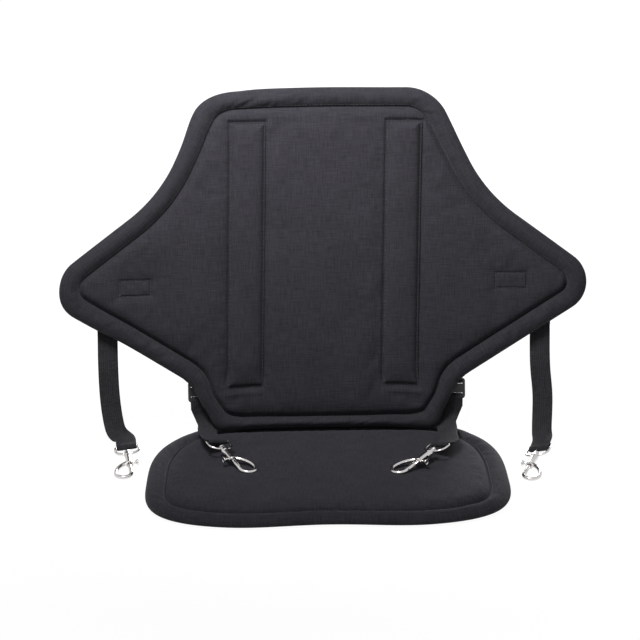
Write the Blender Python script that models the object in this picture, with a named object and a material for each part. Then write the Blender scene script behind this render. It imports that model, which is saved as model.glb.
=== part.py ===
"""Kayak seat: a winged backrest pad sewn to a seat pad, with four clip-on straps.

Everything is in metres with +Z up. The origin is the centre of the seat pad's underside,
+X is to the right of someone who faces the seat, and the front of the seat points to -Y.
Each pad is laid out flat as a sewing pattern (across, along, outwards) and then put in place.
"""
import math
from collections import namedtuple

import bmesh
import bpy
from mathutils import Vector

# Backrest pattern, measured on the flat pad from the middle of its lower edge.
BACK_HEIGHT = 0.338
TOP_HALF_WIDTH = 0.1105
TOP_RADIUS = 0.042
SHOULDER_HALF_WIDTH = 0.1628
SHOULDER_HEIGHT = 0.2334
SHOULDER_RADIUS = 0.150
WING_HALF_SPAN = 0.2857
WING_HEIGHT = 0.1443
WING_RADIUS = 0.031
WAIST_HALF_WIDTH = 0.1352
WAIST_HEIGHT = 0.0479
WAIST_RADIUS = 0.050
BASE_HALF_WIDTH = 0.1085
BASE_RISE = 0.004
BASE_RADIUS = 0.014
BASE_FLAT_HALF_WIDTH = 0.045
BASE_BOW_RADIUS = 0.600

# How the backrest stands: it leans back and its wings curl forward round the sitter.
BACK_LEAN = math.radians(12.0)
BACK_CURL_RADIUS = 0.900
BACK_STANCE = 0.1067
BACK_FOOT_GAP = 0.0009

# Seat pad outline: two half ovals that meet at the widest line, with a shallow front notch.
SEAT_HALF_WIDTH = 0.1723
SEAT_REAR = 0.1255
SEAT_FRONT = 0.1245
SEAT_WIDEST = -0.0190
SEAT_REAR_POWER = 3.3
SEAT_FRONT_POWER = 3.5
SEAT_NOTCH_DEPTH = 0.0070
SEAT_NOTCH_HALF_WIDTH = 0.0950
SEAT_STATIONS = 44

# Pad build: foam between two fabric covers, bound along the edge with folded tape.
BAND_WIDTH = 0.0185
FABRIC = 0.0006
TAPE = 0.0007
LAYER_GAP = 0.0003
COVER_INSET = 0.0020
FOAM_INSET = 0.0032
SWELL_WIDTH = 0.0115
EDGE_HALF = 0.0026
PINCH_HALF = 0.0032
CREST_HALF = 0.0046
BACK_FRONT_HALF = 0.0064
BACK_REAR_HALF = 0.0050
SEAT_THICKNESS = 0.0120
SEAT_EDGE_SHARE = 0.75
SMALLEST_RADIUS = 0.0004

# Stay pockets on the front of the backrest and the flat stays inside them.
POCKET_CENTRE = 0.0785
POCKET_WIDTH = 0.0340
POCKET_BOTTOM = 0.0400
POCKET_LENGTH = 0.2620
POCKET_RISE = 0.0034
POCKET_SEAM = 0.0024
POCKET_EDGE = 0.0008
POCKET_RADIUS = 0.0030
STAY_WIDTH = 0.0240
STAY_LENGTH = 0.2500
STAY_THICKNESS = 0.0016
SEWN_GAP = 0.0004
POCKET_GAP = 0.0006

# Webbing and its plastic adjusters.
WEB_WIDTH = 0.0200
WEB_THICKNESS = 0.0014
WEB_LAYER_GAP = 0.0004
ADJUSTER_WIDTH = 0.0270
ADJUSTER_BAR = 0.0034
ADJUSTER_SLOT = 0.0052
ADJUSTER_THICKNESS = 0.0030
ADJUSTER_CORNER = 0.0030
UPPER_STRAP_ACROSS = 0.2140
UPPER_ANCHOR_HEIGHT = 0.1470
UPPER_ANCHOR_INNER = 0.1715
UPPER_ANCHOR_DROP = 0.0080
LOWER_STRAP_ACROSS = 0.1255
LOWER_ANCHOR_HEIGHT = 0.0620
LOWER_ANCHOR_DROP = 0.0060
ADJUSTER_TAIL = 0.0220
EYE_TAIL = 0.0090
ANCHOR_PLATE_TIP = 0.0020
ANCHOR_PLATE_COLUMNS = 5
ANCHOR_LEAD = 0.0010
ANCHOR_TAIL = 0.0040
FOLD_START = math.radians(-20.0)
FOLD_SWEEP = math.radians(220.0)
FOLD_STEPS = 6
FOLD_LEAD = 2.4
STRAP_STEPS = 3

# Hinge strip: the tape that joins the backrest to the seat along their back edges.
HINGE_HALF_WIDTH = 0.0880
HINGE_HEIGHT = 0.0240
HINGE_FOOT = 0.0060

# Swivel bolt snap, measured along its axis from the outside of the eye.
SNAP_LENGTH = 0.0660
FLOOR_SNAP_SLOPE = math.radians(6.0)
SEAT_SNAP_SLOPE = math.radians(10.0)
RUNNING_GAP = 0.0004
EYE_WIDTH = 0.0257
EYE_WIRE_RADIUS = 0.0012
EYE_CORNER_RADIUS = 0.0011
EYE_SHOULDER = 0.0080
BOSS_START = 0.0142
BOSS_LENGTH = 0.0028
BOSS_RADIUS = 0.0034
STEM_RADIUS = 0.0016
HEAD_LENGTH = 0.0030
HEAD_RADIUS = 0.0031
BARREL_RADIUS = 0.0039
BARREL_LENGTH = 0.0034
BARREL_TAPER = 0.0012
HOUSING_RADIUS = 0.0035
HOUSING_END = 0.0385
BORE_START = 0.0208
BOLT_RADIUS = 0.0019
BOLT_REAR = 0.0320
BOLT_TRAVEL = 0.0080
HOOK_TIP = 0.0540
HOOK_WIRE_RADIUS = 0.0019
HOOK_BULGE = 0.0168
HOOK_START = 0.0352
HOOK_ROOT = 0.0022
HOOK_ROOT_SWELL = 1.15
HOOK_SOCKET_SWELL = 1.20
HEAD_CROWN = 0.0019
HEAD_CROWN_RISE = 0.0010
KNOB_AT = 0.0345
KNOB_POST_RADIUS = 0.0012
KNOB_RADIUS = 0.0029
KNOB_NECK = 0.0052
KNOB_HEIGHT = 0.0086
KNOB_RIM = 0.0007
SPRING_WIRE_RADIUS = 0.0003
SPRING_TURNS = 5

# Where each snap lies: its eye's place, the way its nose points, clockwise from the front,
# and the roll of its eye about the snap's length, outer end up, as the twisted strap pulls it.
SnapPlace = namedtuple("SnapPlace", "x y turn roll")
FLOOR_SNAP_CLEARANCE = 0.0240
FLOOR_SNAP_RIGHT_EXTRA = 0.0120
FLOOR_SNAP_OUT = SEAT_HALF_WIDTH + FLOOR_SNAP_CLEARANCE
FLOOR_SNAP_LEFT = SnapPlace(-FLOOR_SNAP_OUT, 0.0697, math.radians(-8.3), math.radians(-5.0))
FLOOR_SNAP_RIGHT = SnapPlace(FLOOR_SNAP_OUT + FLOOR_SNAP_RIGHT_EXTRA, 0.0473,
                             math.radians(21.2), math.radians(15.0))
SEAT_SNAP_LEFT = SnapPlace(-0.1056, 0.0381, math.radians(-25.6), math.radians(10.0))
SEAT_SNAP_RIGHT = SnapPlace(0.1094, 0.0211, math.radians(39.9), math.radians(13.0))

# How the straps run: distances from the eye that they end at and the places that they pass.
STRAP_EYE_LEAD = 0.0065
UPPER_EYE_RISE = math.radians(14.0)
UPPER_HANG_LOW = 0.0600
UPPER_BOW_LEFT = 0.0008
UPPER_BOW_RIGHT = 0.0030
UPPER_COURSE = ((0.10, 0.10, 0.42), (0.26, 0.24, 0.74), (0.55, 0.48, 0.93))
LOWER_EYE_RISE = math.radians(-7.0)
LOWER_REAR_GAP = 0.0075
LOWER_FRONT_GAP = 0.0060
LOWER_CORNER_OUT = 0.0085
LOWER_TWIST = math.radians(16.0)
LOWER_LEAD_OUT = 0.0030
LOWER_LEAD_RISE = 0.0090
LOWER_MIDDLE = 0.55

Pad = namedtuple("Pad", "loop place")
Corner = namedtuple("Corner", "across along radius arc_steps line_steps")
Frame = namedtuple("Frame", "origin ahead side up")
Snap = namedtuple("Snap", "body eye rise")


# Scene and mesh helpers

def clear_scene():
    """Start from an empty file."""
    for item in list(bpy.data.objects):
        bpy.data.objects.remove(item, do_unlink=True)


def material(name, colour, roughness, metallic=0.0):
    """A plain Principled material."""
    made = bpy.data.materials.new(name)
    made.use_nodes = True
    shader = made.node_tree.nodes["Principled BSDF"]
    shader.inputs["Base Color"].default_value = (*colour, 1.0)
    shader.inputs["Roughness"].default_value = roughness
    shader.inputs["Metallic"].default_value = metallic
    return made


def add_solid(name, points, faces, finish):
    """Make one closed object and turn its faces outwards."""
    mesh = bpy.data.meshes.new(name)
    mesh.from_pydata([tuple(point) for point in points], [], faces)
    shape = bmesh.new()
    shape.from_mesh(mesh)
    bmesh.ops.recalc_face_normals(shape, faces=shape.faces)
    shape.to_mesh(mesh)
    shape.free()
    mesh.materials.append(finish)
    made = bpy.data.objects.new(name, mesh)
    bpy.context.collection.objects.link(made)
    mesh.shade_smooth()
    mesh.set_sharp_from_angle(angle=math.radians(40.0))
    return made


def combine(target, tool, operation):
    """Join a tool object to the target, or cut it out, and leave only the target."""
    step = target.modifiers.new(operation.title(), "BOOLEAN")
    step.operation = operation
    step.object = tool
    step.solver = "EXACT"
    graph = bpy.context.evaluated_depsgraph_get()
    mesh = bpy.data.meshes.new_from_object(target.evaluated_get(graph))
    target.modifiers.remove(step)
    target.data = mesh
    bpy.data.objects.remove(tool, do_unlink=True)
    return target


def strip_faces(first, second, closed=True):
    """Triangles between two rings of points, always split along the same diagonal."""
    count = len(first)
    steps = count if closed else count - 1
    faces = []
    for i in range(steps):
        j = (i + 1) % count
        faces.append((first[i], first[j], second[j]))
        faces.append((first[i], second[j], second[i]))
    return faces


def ladder_faces(ring):
    """Fill a ring whose two sides run from tip to tip, with rungs across it."""
    count = len(ring)
    half = count // 2
    faces = [(ring[0], ring[1], ring[count - 1])]
    for i in range(1, half - 1):
        near, far = ring[i], ring[i + 1]
        far_low, near_low = ring[count - i - 1], ring[count - i]
        faces.append((near, far, far_low))
        faces.append((near, far_low, near_low))
    faces.append((ring[half - 1], ring[half], ring[half + 1]))
    return faces


# Flat patterns

def inset_corners(corners, inset):
    """Move every edge of a counter-clockwise pattern inwards and let the edges meet again."""
    count = len(corners)
    moved = []
    for i, here in enumerate(corners):
        point = Vector((here.across, here.along))
        before = Vector((corners[i - 1].across, corners[i - 1].along))
        after = Vector((corners[(i + 1) % count].across, corners[(i + 1) % count].along))
        arriving = (point - before).normalized()
        leaving = (after - point).normalized()
        left_in = Vector((-arriving.y, arriving.x))
        left_out = Vector((-leaving.y, leaving.x))
        point += (left_in + left_out) * (inset / (1.0 + left_in.dot(left_out)))
        outward = arriving.x * leaving.y - arriving.y * leaving.x > 0.0
        radius = max(here.radius - inset, SMALLEST_RADIUS) if outward else here.radius + inset
        moved.append(Corner(point.x, point.y, radius, here.arc_steps, here.line_steps))
    return moved


def rounded_loop(corners, inset):
    """Stations round a pattern with filleted corners, starting in the middle of the first corner."""
    corners = inset_corners(corners, inset)
    count = len(corners)
    stations = []
    for i, here in enumerate(corners):
        point = Vector((here.across, here.along))
        before = Vector((corners[i - 1].across, corners[i - 1].along))
        follower = corners[(i + 1) % count]
        after = Vector((follower.across, follower.along))
        arriving = (point - before).normalized()
        leaving = (after - point).normalized()
        turn = arriving.angle_signed(leaving) * -1.0
        reach = here.radius * math.tan(abs(turn) / 2.0)
        start = point - arriving * reach
        side = Vector((-arriving.y, arriving.x)) * math.copysign(here.radius, turn)
        centre = start + side
        for k in range(here.arc_steps + 1):
            angle = turn * k / here.arc_steps
            arm = start - centre
            stations.append(centre + Vector((
                arm.x * math.cos(angle) - arm.y * math.sin(angle),
                arm.x * math.sin(angle) + arm.y * math.cos(angle))))
        end = stations[-1]
        next_turn = leaving.angle(
            (Vector((corners[(i + 2) % count].across, corners[(i + 2) % count].along)) - after))
        next_start = after - leaving * (follower.radius * math.tan(next_turn / 2.0))
        for k in range(1, here.line_steps):
            stations.append(end.lerp(next_start, k / here.line_steps))
    middle = corners[0].arc_steps // 2
    return stations[middle:] + stations[:middle]


def back_corners():
    """The backrest's corners, counter-clockwise from the right wing tip."""
    right = [
        Corner(WING_HALF_SPAN, WING_HEIGHT, WING_RADIUS, 6, 3),
        Corner(SHOULDER_HALF_WIDTH, SHOULDER_HEIGHT, SHOULDER_RADIUS, 3, 2),
        Corner(TOP_HALF_WIDTH, BACK_HEIGHT, TOP_RADIUS, 3, 4),
    ]
    left = [
        Corner(-TOP_HALF_WIDTH, BACK_HEIGHT, TOP_RADIUS, 3, 2),
        Corner(-SHOULDER_HALF_WIDTH, SHOULDER_HEIGHT, SHOULDER_RADIUS, 3, 3),
        Corner(-WING_HALF_SPAN, WING_HEIGHT, WING_RADIUS, 6, 4),
        Corner(-WAIST_HALF_WIDTH, WAIST_HEIGHT, WAIST_RADIUS, 3, 1),
        Corner(-BASE_HALF_WIDTH, BASE_RISE, BASE_RADIUS, 2, 1),
    ]
    bottom = [
        Corner(-BASE_FLAT_HALF_WIDTH, 0.0, BASE_BOW_RADIUS, 1, 2),
        Corner(BASE_FLAT_HALF_WIDTH, 0.0, BASE_BOW_RADIUS, 1, 1),
        Corner(BASE_HALF_WIDTH, BASE_RISE, BASE_RADIUS, 2, 1),
        Corner(WAIST_HALF_WIDTH, WAIST_HEIGHT, WAIST_RADIUS, 3, 4),
    ]
    return right + left + bottom


def back_loop(inset):
    """Stations round the backrest, inset from its edge."""
    return rounded_loop(back_corners(), inset)


def seat_loop(inset):
    """Stations round the seat, inset from its edge, counter-clockwise from the right."""
    stations = []
    for k in range(SEAT_STATIONS):
        angle = 2.0 * math.pi * k / SEAT_STATIONS
        rear = math.sin(angle) >= 0.0
        reach = SEAT_REAR - SEAT_WIDEST if rear else SEAT_FRONT + SEAT_WIDEST
        power = SEAT_REAR_POWER if rear else SEAT_FRONT_POWER
        across = math.copysign(abs(math.cos(angle)) ** (2.0 / power), math.cos(angle))
        along = math.copysign(abs(math.sin(angle)) ** (2.0 / power), math.sin(angle))
        slope = Vector((
            math.copysign(abs(across) ** (power - 1.0) / SEAT_HALF_WIDTH, across),
            math.copysign(abs(along) ** (power - 1.0) / reach, along))).normalized()
        x = across * SEAT_HALF_WIDTH - slope.x * inset
        y = SEAT_WIDEST + along * reach - slope.y * inset
        if not rear and abs(x) < SEAT_NOTCH_HALF_WIDTH:
            y += SEAT_NOTCH_DEPTH * (1.0 + math.cos(math.pi * x / SEAT_NOTCH_HALF_WIDTH)) / 2.0
        stations.append(Vector((x, y)))
    return stations


# From the flat patterns to their places

BACK_UP = Vector((0.0, math.sin(BACK_LEAN), math.cos(BACK_LEAN)))
BACK_FRONT = Vector((0.0, -math.cos(BACK_LEAN), math.sin(BACK_LEAN)))
BACK_FOOT = Vector((0.0, BACK_STANCE, SEAT_THICKNESS + BACK_FOOT_GAP))


def place_on_back(across, along, outwards):
    """Curl the flat backrest round an upright axis in front of it and lean it back."""
    angle = across / BACK_CURL_RADIUS
    arm = BACK_CURL_RADIUS - outwards
    forward = BACK_CURL_RADIUS - arm * math.cos(angle)
    return BACK_FOOT + BACK_UP * along + BACK_FRONT * forward + Vector((arm * math.sin(angle), 0.0, 0.0))


def place_on_seat(across, along, outwards):
    """The seat pad lies flat on what is under it."""
    return Vector((across, along, outwards))


BACK = Pad(back_loop, place_on_back)
SEAT = Pad(seat_loop, place_on_seat)


def build_layer(name, pad, face_levels, rear_levels, finish):
    """A sheet or slab of the pad: rings of (inset, height) on each face, joined at the edge."""
    points = []
    faces = []
    first_rings = []
    for levels in (face_levels, rear_levels):
        rings = []
        for inset, height in levels:
            loop = pad.loop(inset)
            rings.append(list(range(len(points), len(points) + len(loop))))
            points += [pad.place(station.x, station.y, height) for station in loop]
        for outer, inner in zip(rings, rings[1:]):
            faces += strip_faces(outer, inner)
        faces += ladder_faces(rings[-1])
        first_rings.append(rings[0])
    faces += strip_faces(first_rings[1], first_rings[0])
    return add_solid(name, points, faces, finish)


def build_binding(name, pad, section, finish):
    """The folded tape round the edge: a closed section carried along the outline."""
    points = []
    rings = []
    for inset, height in section:
        loop = pad.loop(inset)
        rings.append(list(range(len(points), len(points) + len(loop))))
        points += [pad.place(station.x, station.y, height) for station in loop]
    faces = []
    for here, after in zip(rings, rings[1:] + rings[:1]):
        faces += strip_faces(here, after)
    return add_solid(name, points, faces, finish)


def front_levels(middle, plateau):
    """Rings of a front cover's outer side: its edge, the band's crest, the seam, the plateau."""
    return [
        (COVER_INSET, middle + EDGE_HALF),
        (BAND_WIDTH / 2.0, middle + CREST_HALF),
        (BAND_WIDTH, middle + PINCH_HALF),
        (BAND_WIDTH + SWELL_WIDTH, plateau),
    ]


def rear_levels(edge, pinch, plateau):
    """Rings of a rear cover's outer side, which lies flat under the band."""
    return [(COVER_INSET, edge), (BAND_WIDTH, pinch), (BAND_WIDTH + SWELL_WIDTH, plateau)]


def shifted(levels, amount):
    """The same rings at another height."""
    return [(inset, height + amount) for inset, height in levels]


def tape_section(face, rear, middle):
    """The binding's section: out over one face, round the edge and back over the other."""
    clear = LAYER_GAP
    skin = LAYER_GAP + TAPE
    face, rear = face[:-1], rear[:-1]
    outer_face = [(inset, height + skin) for inset, height in reversed(face)]
    outer_rear = [(inset, height - skin) for inset, height in rear]
    inner_face = [(inset, height + clear) for inset, height in face]
    inner_rear = [(inset, height - clear) for inset, height in reversed(rear)]
    edge_out = [(0.0, middle)]
    edge_in = [(TAPE, middle)]
    return outer_face + edge_out + outer_rear + inner_rear + edge_in + inner_face


def foam_levels(levels, sign):
    """The foam fills the room between the covers."""
    kept = [(FOAM_INSET, levels[0][1])] + levels[-2:]
    return shifted(kept, -sign * (FABRIC + LAYER_GAP))


def build_back(fabric, tape, foam):
    """The backrest pad: foam core, front and rear cover, edge tape."""
    face = front_levels(0.0, BACK_FRONT_HALF)
    rear = rear_levels(-EDGE_HALF, -PINCH_HALF, -BACK_REAR_HALF)
    build_layer("backrest_foam", BACK, foam_levels(face, 1.0), foam_levels(rear, -1.0), foam)
    build_layer("backrest_front_cover", BACK, face, shifted(face, -FABRIC), fabric)
    build_layer("backrest_rear_cover", BACK, rear, shifted(rear, FABRIC), fabric)
    build_binding("backrest_edge_tape", BACK, tape_section(face, rear, 0.0), tape)


def build_seat(fabric, tape, foam):
    """The seat pad, flat underneath so that it rests on its bottom cover and its tape."""
    middle = LAYER_GAP + TAPE + CREST_HALF
    face = front_levels(middle, SEAT_THICKNESS)
    under = rear_levels(LAYER_GAP + TAPE, LAYER_GAP + TAPE, 0.0)
    build_layer("seat_foam", SEAT, foam_levels(face, 1.0), foam_levels(under, -1.0), foam)
    build_layer("seat_top_cover", SEAT, face, shifted(face, -FABRIC), fabric)
    build_layer("seat_bottom_cover", SEAT, under, shifted(under, FABRIC), fabric)
    build_binding("seat_edge_tape", SEAT, tape_section(face, under, middle * SEAT_EDGE_SHARE), tape)


# Stay pockets and stays

def strip_loop(centre, width, bottom, length, radius, inset):
    """Stations round an upright strip: half of them along its top, half along its bottom."""
    right, left = centre + width / 2.0 - inset, centre - width / 2.0 + inset
    low, high = bottom + inset, bottom + length - inset
    middle = (low + high) / 2.0
    fillet = max(radius - inset, SMALLEST_RADIUS)
    columns = [right - (right - left - 2.0 * fillet) * k / 4.0 - fillet for k in range(5)]
    corner = fillet * (1.0 - math.sqrt(0.5))
    top = [Vector((right, high - fillet)), Vector((right - corner, high - corner))]
    top += [Vector((x, high)) for x in columns]
    top += [Vector((left + corner, high - corner)), Vector((left, high - fillet))]
    low_side = [Vector((point.x, low + high - point.y)) for point in reversed(top)]
    return [Vector((right, middle))] + top + [Vector((left, middle))] + low_side


def build_stays(fabric, plastic):
    """Two flat stays and the fabric pockets that hold them against the front cover."""
    surface = BACK_FRONT_HALF + POCKET_GAP
    for side, word in ((-1.0, "left"), (1.0, "right")):
        centre = side * POCKET_CENTRE

        def pocket_loop(inset, centre=centre):
            return strip_loop(centre, POCKET_WIDTH, POCKET_BOTTOM, POCKET_LENGTH, POCKET_RADIUS, inset)

        outer = [(0.0, surface), (POCKET_EDGE, surface + FABRIC), (POCKET_SEAM, surface + FABRIC),
                 (POCKET_SEAM * 2.0, surface + POCKET_RISE)]
        inner = [(POCKET_SEAM, surface), (POCKET_SEAM * 2.0, surface + POCKET_RISE - FABRIC)]
        build_layer(word + "_stay_pocket", Pad(pocket_loop, place_on_back), outer, inner, fabric)
        stay_bottom = POCKET_BOTTOM + (POCKET_LENGTH - STAY_LENGTH) / 2.0

        def stay_loop(inset, centre=centre, bottom=stay_bottom):
            return strip_loop(centre, STAY_WIDTH, bottom, STAY_LENGTH, POCKET_RADIUS, inset)

        low = surface + LAYER_GAP
        build_layer(word + "_stay", Pad(stay_loop, place_on_back),
                    [(0.0, low + STAY_THICKNESS)], [(0.0, low)], plastic)


# Webbing

def smooth_route(knots, steps):
    """Points on a smooth curve through the knots; each knot is a place and a width direction."""
    last = len(knots) - 1
    spans = [(after[0] - here[0]).normalized() for here, after in zip(knots, knots[1:])]
    headings = [spans[0]]
    headings += [(before + after).normalized() for before, after in zip(spans, spans[1:])]
    headings.append(spans[-1])
    route = []
    for i in range(last):
        (start, start_width), (end, end_width) = knots[i], knots[i + 1]
        reach = (end - start).length
        for k in range(steps):
            t = k / steps
            ease = t * t * (3.0 - 2.0 * t)
            leaving = headings[i] * (reach * t * (1.0 - t) ** 2)
            arriving = headings[i + 1] * (reach * t * t * (1.0 - t))
            width = start_width.lerp(end_width, ease).normalized()
            route.append((start.lerp(end, ease) + leaving - arriving, width))
    route.append(knots[-1])
    return route


def loop_round(bar, away, face, width, radius, tail):
    """A webbing end folded round a bar: from the end of its tail, round the bar, to the live leg."""
    half = (WEB_THICKNESS + WEB_LAYER_GAP) / 2.0
    lead = away * (radius * FOLD_LEAD)
    route = [(bar + away * tail + face * half, width), (bar + lead + face * half, width)]
    for k in range(FOLD_STEPS + 1):
        angle = FOLD_START + FOLD_SWEEP * k / FOLD_STEPS
        route.append((bar + face * (radius * math.cos(angle)) - away * (radius * math.sin(angle)), width))
    route.append((bar + lead - face * half, width))
    return route


def build_ribbon(name, route, finish):
    """A flat strap of constant width and thickness along a route."""
    points = []
    rings = []
    count = len(route)
    for i, (place, width) in enumerate(route):
        before = route[max(i - 1, 0)][0]
        after = route[min(i + 1, count - 1)][0]
        ahead = (after - before).normalized()
        side = (width - ahead * width.dot(ahead)).normalized() * (WEB_WIDTH / 2.0)
        lift = side.normalized().cross(ahead) * (WEB_THICKNESS / 2.0)
        rings.append(list(range(len(points), len(points) + 4)))
        points += [place + side + lift, place - side + lift, place - side - lift, place + side - lift]
    faces = [tuple(rings[0]), tuple(reversed(rings[-1]))]
    for here, after in zip(rings, rings[1:]):
        faces += strip_faces(here, after)
    return add_solid(name, points, faces, finish)


def back_frame(across, along, depth):
    """Axes on the rear of the backrest: its own right, up and rearward directions."""
    origin = place_on_back(across, along, -depth)
    right = place_on_back(across + WEB_WIDTH, along, -depth)
    left = place_on_back(across - WEB_WIDTH, along, -depth)
    side = (right - left).normalized()
    return Frame(origin, BACK_UP.copy(), side, side.cross(BACK_UP) * -1.0)


WEB_LOOP_RADIUS = math.hypot(ADJUSTER_BAR, ADJUSTER_THICKNESS) / 2.0 + LAYER_GAP + WEB_THICKNESS / 2.0
ADJUSTER_PITCH = ADJUSTER_BAR + ADJUSTER_SLOT
ADJUSTER_HEIGHT = 2.0 * ADJUSTER_PITCH + ADJUSTER_BAR
ADJUSTER_DEPTH = BACK_REAR_HALF + SEWN_GAP + WEB_LOOP_RADIUS + WEB_THICKNESS / 2.0
ANCHOR_DEPTH = BACK_REAR_HALF + SEWN_GAP + WEB_THICKNESS / 2.0


def build_adjuster(name, top_bar, frame, finish):
    """A ladder-shaped slider: a rounded frame with two slots, hung by its top bar."""
    half_wide = ADJUSTER_WIDTH / 2.0
    high = ADJUSTER_BAR / 2.0
    low = high - ADJUSTER_HEIGHT
    outline = []
    corners = ((half_wide, high, 0), (-half_wide, high, 1), (-half_wide, low, 2), (half_wide, low, 3))
    for x, z, turn in corners:
        centre = Vector((x - math.copysign(ADJUSTER_CORNER, x), z - math.copysign(ADJUSTER_CORNER, z)))
        for k in range(4):
            angle = math.radians(90.0 * turn + 30.0 * k)
            outline.append(centre + Vector((math.cos(angle), math.sin(angle))) * ADJUSTER_CORNER)

    def spot(x, z, y):
        return top_bar + frame.side * x + frame.ahead * z + frame.up * y

    def prism(label, shape, half_thick):
        count = len(shape)
        points = [spot(p.x, p.y, -half_thick) for p in shape] + [spot(p.x, p.y, half_thick) for p in shape]
        faces = [tuple(range(count)), tuple(reversed(range(count, 2 * count)))]
        faces += strip_faces(list(range(count)), list(range(count, 2 * count)))
        return add_solid(label, points, faces, finish)

    slider = prism(name, outline, ADJUSTER_THICKNESS / 2.0)
    slot_half = WEB_WIDTH / 2.0 + 2.0 * LAYER_GAP
    for k in range(2):
        slot_high = -ADJUSTER_BAR / 2.0 - k * ADJUSTER_PITCH
        slot_low = slot_high - ADJUSTER_SLOT
        shape = [Vector((slot_half, slot_high)), Vector((-slot_half, slot_high)),
                 Vector((-slot_half, slot_low)), Vector((slot_half, slot_low))]
        combine(slider, prism("slot", shape, ADJUSTER_THICKNESS), "DIFFERENCE")
    return slider


def build_anchor(name, across, along, drop, plate_inner, finish):
    """The webbing loop sewn to the rear cover; the upper one turns a mitred corner first."""
    frame = back_frame(across, along, ANCHOR_DEPTH)
    bar_along = along - WEB_WIDTH / 2.0 - drop
    bar = place_on_back(across, bar_along, -ADJUSTER_DEPTH)
    sewn = place_on_back(across, along + WEB_WIDTH / 2.0, -ANCHOR_DEPTH)
    fold = loop_round(bar, BACK_UP, frame.up, frame.side, WEB_LOOP_RADIUS, drop)
    lead = place_on_back(across, along - WEB_WIDTH / 2.0 + ANCHOR_LEAD, -ANCHOR_DEPTH)
    rear_lift = frame.up * (WEB_THICKNESS + WEB_LAYER_GAP)
    tail_end = (place_on_back(across, along + ANCHOR_TAIL, -ANCHOR_DEPTH) + rear_lift, frame.side)
    tail_mid = (lead + rear_lift, frame.side)
    route = [tail_end, tail_mid] + fold[2:-1] + [(lead, frame.side), (sewn, frame.side)]
    anchor = build_ribbon(name, route, finish)
    if plate_inner is None:
        return anchor
    sign = math.copysign(1.0, across)
    outer_edge = across + sign * WEB_WIDTH / 2.0
    inner_edge = sign * plate_inner
    top, bottom = along + WEB_WIDTH / 2.0, along - WEB_WIDTH / 2.0
    near = ANCHOR_DEPTH - WEB_THICKNESS / 2.0
    far = ANCHOR_DEPTH + WEB_THICKNESS / 2.0
    points = []
    rings = []
    for k in range(ANCHOR_PLATE_COLUMNS + 1):
        s = outer_edge + (inner_edge - outer_edge) * k / ANCHOR_PLATE_COLUMNS
        high = bottom + min(abs(outer_edge - s) + ANCHOR_PLATE_TIP, WEB_WIDTH)
        rings.append(list(range(len(points), len(points) + 4)))
        points += [place_on_back(s, min(high, top), -near), place_on_back(s, bottom, -near),
                   place_on_back(s, bottom, -far), place_on_back(s, min(high, top), -far)]
    faces = [tuple(rings[0]), tuple(reversed(rings[-1]))]
    for here, after in zip(rings, rings[1:]):
        faces += strip_faces(here, after)
    plate = add_solid("plate", points, faces, finish)
    return combine(anchor, plate, "UNION")


def build_hinge_strip(finish):
    """The tape along the back edges: up the rear of the backrest and over the seat's tape."""
    foot_height = 2.0 * (LAYER_GAP + TAPE + CREST_HALF) + LAYER_GAP + TAPE
    columns = 8
    points = []
    rings = []
    for k in range(columns + 1):
        across = HINGE_HALF_WIDTH * (2.0 * k / columns - 1.0)
        rear = BACK_REAR_HALF + SEWN_GAP
        high = place_on_back(across, HINGE_HEIGHT + BAND_WIDTH, -rear)
        bend = place_on_back(across, BASE_RISE, -rear - TAPE)
        heel = Vector((bend.x, bend.y, foot_height))
        toe = heel + Vector((0.0, HINGE_FOOT, 0.0))
        back_off = BACK_FRONT * -TAPE
        rise = Vector((0.0, 0.0, TAPE))
        corner = place_on_back(across, BASE_RISE, -rear - 2.0 * TAPE)
        rings.append(list(range(len(points), len(points) + 8)))
        points += [high, bend, heel, toe, toe + rise, Vector((corner.x, corner.y, foot_height + TAPE)),
                   corner + rise, high + back_off]
    faces = [tuple(rings[0]), tuple(reversed(rings[-1]))]
    for here, after in zip(rings, rings[1:]):
        faces += strip_faces(here, after)
    return add_solid("hinge_strip", points, faces, finish)


# Swivel bolt snaps

def snap_frame(place, slope, floor, bulge):
    """Axes of a snap that lies on a surface: ahead to its nose, side to its hook, up."""
    level = Vector((math.sin(-place.turn), -math.cos(place.turn), 0.0))
    ahead = level * math.cos(slope) + Vector((0.0, 0.0, -math.sin(slope)))
    side = Vector((level.y, -level.x, 0.0)) * bulge
    up = ahead.cross(side)
    if up.z < 0.0:
        up = -up
    nose = floor + HOOK_WIRE_RADIUS + LAYER_GAP * 2.0
    reach = SNAP_LENGTH - 2.0 * HOOK_WIRE_RADIUS - EYE_WIRE_RADIUS
    return Frame(Vector((place.x, place.y, nose + reach * math.sin(slope))), ahead, side, up)


def rolled(frame, angle):
    """The same axes turned about the snap's length, so that the outer end of its side rises."""
    angle *= math.copysign(1.0, frame.side.x * frame.origin.x)
    side = frame.side * math.cos(angle) + frame.up * math.sin(angle)
    up = frame.up * math.cos(angle) - frame.side * math.sin(angle)
    return Frame(frame.origin, frame.ahead, side, up)


def along_snap(frame, a, b=0.0, c=0.0):
    """A point of a snap, a from the outside of its eye, b to the hook's side, c upwards."""
    return frame.origin + frame.ahead * (a - EYE_WIRE_RADIUS) + frame.side * b + frame.up * c


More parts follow.
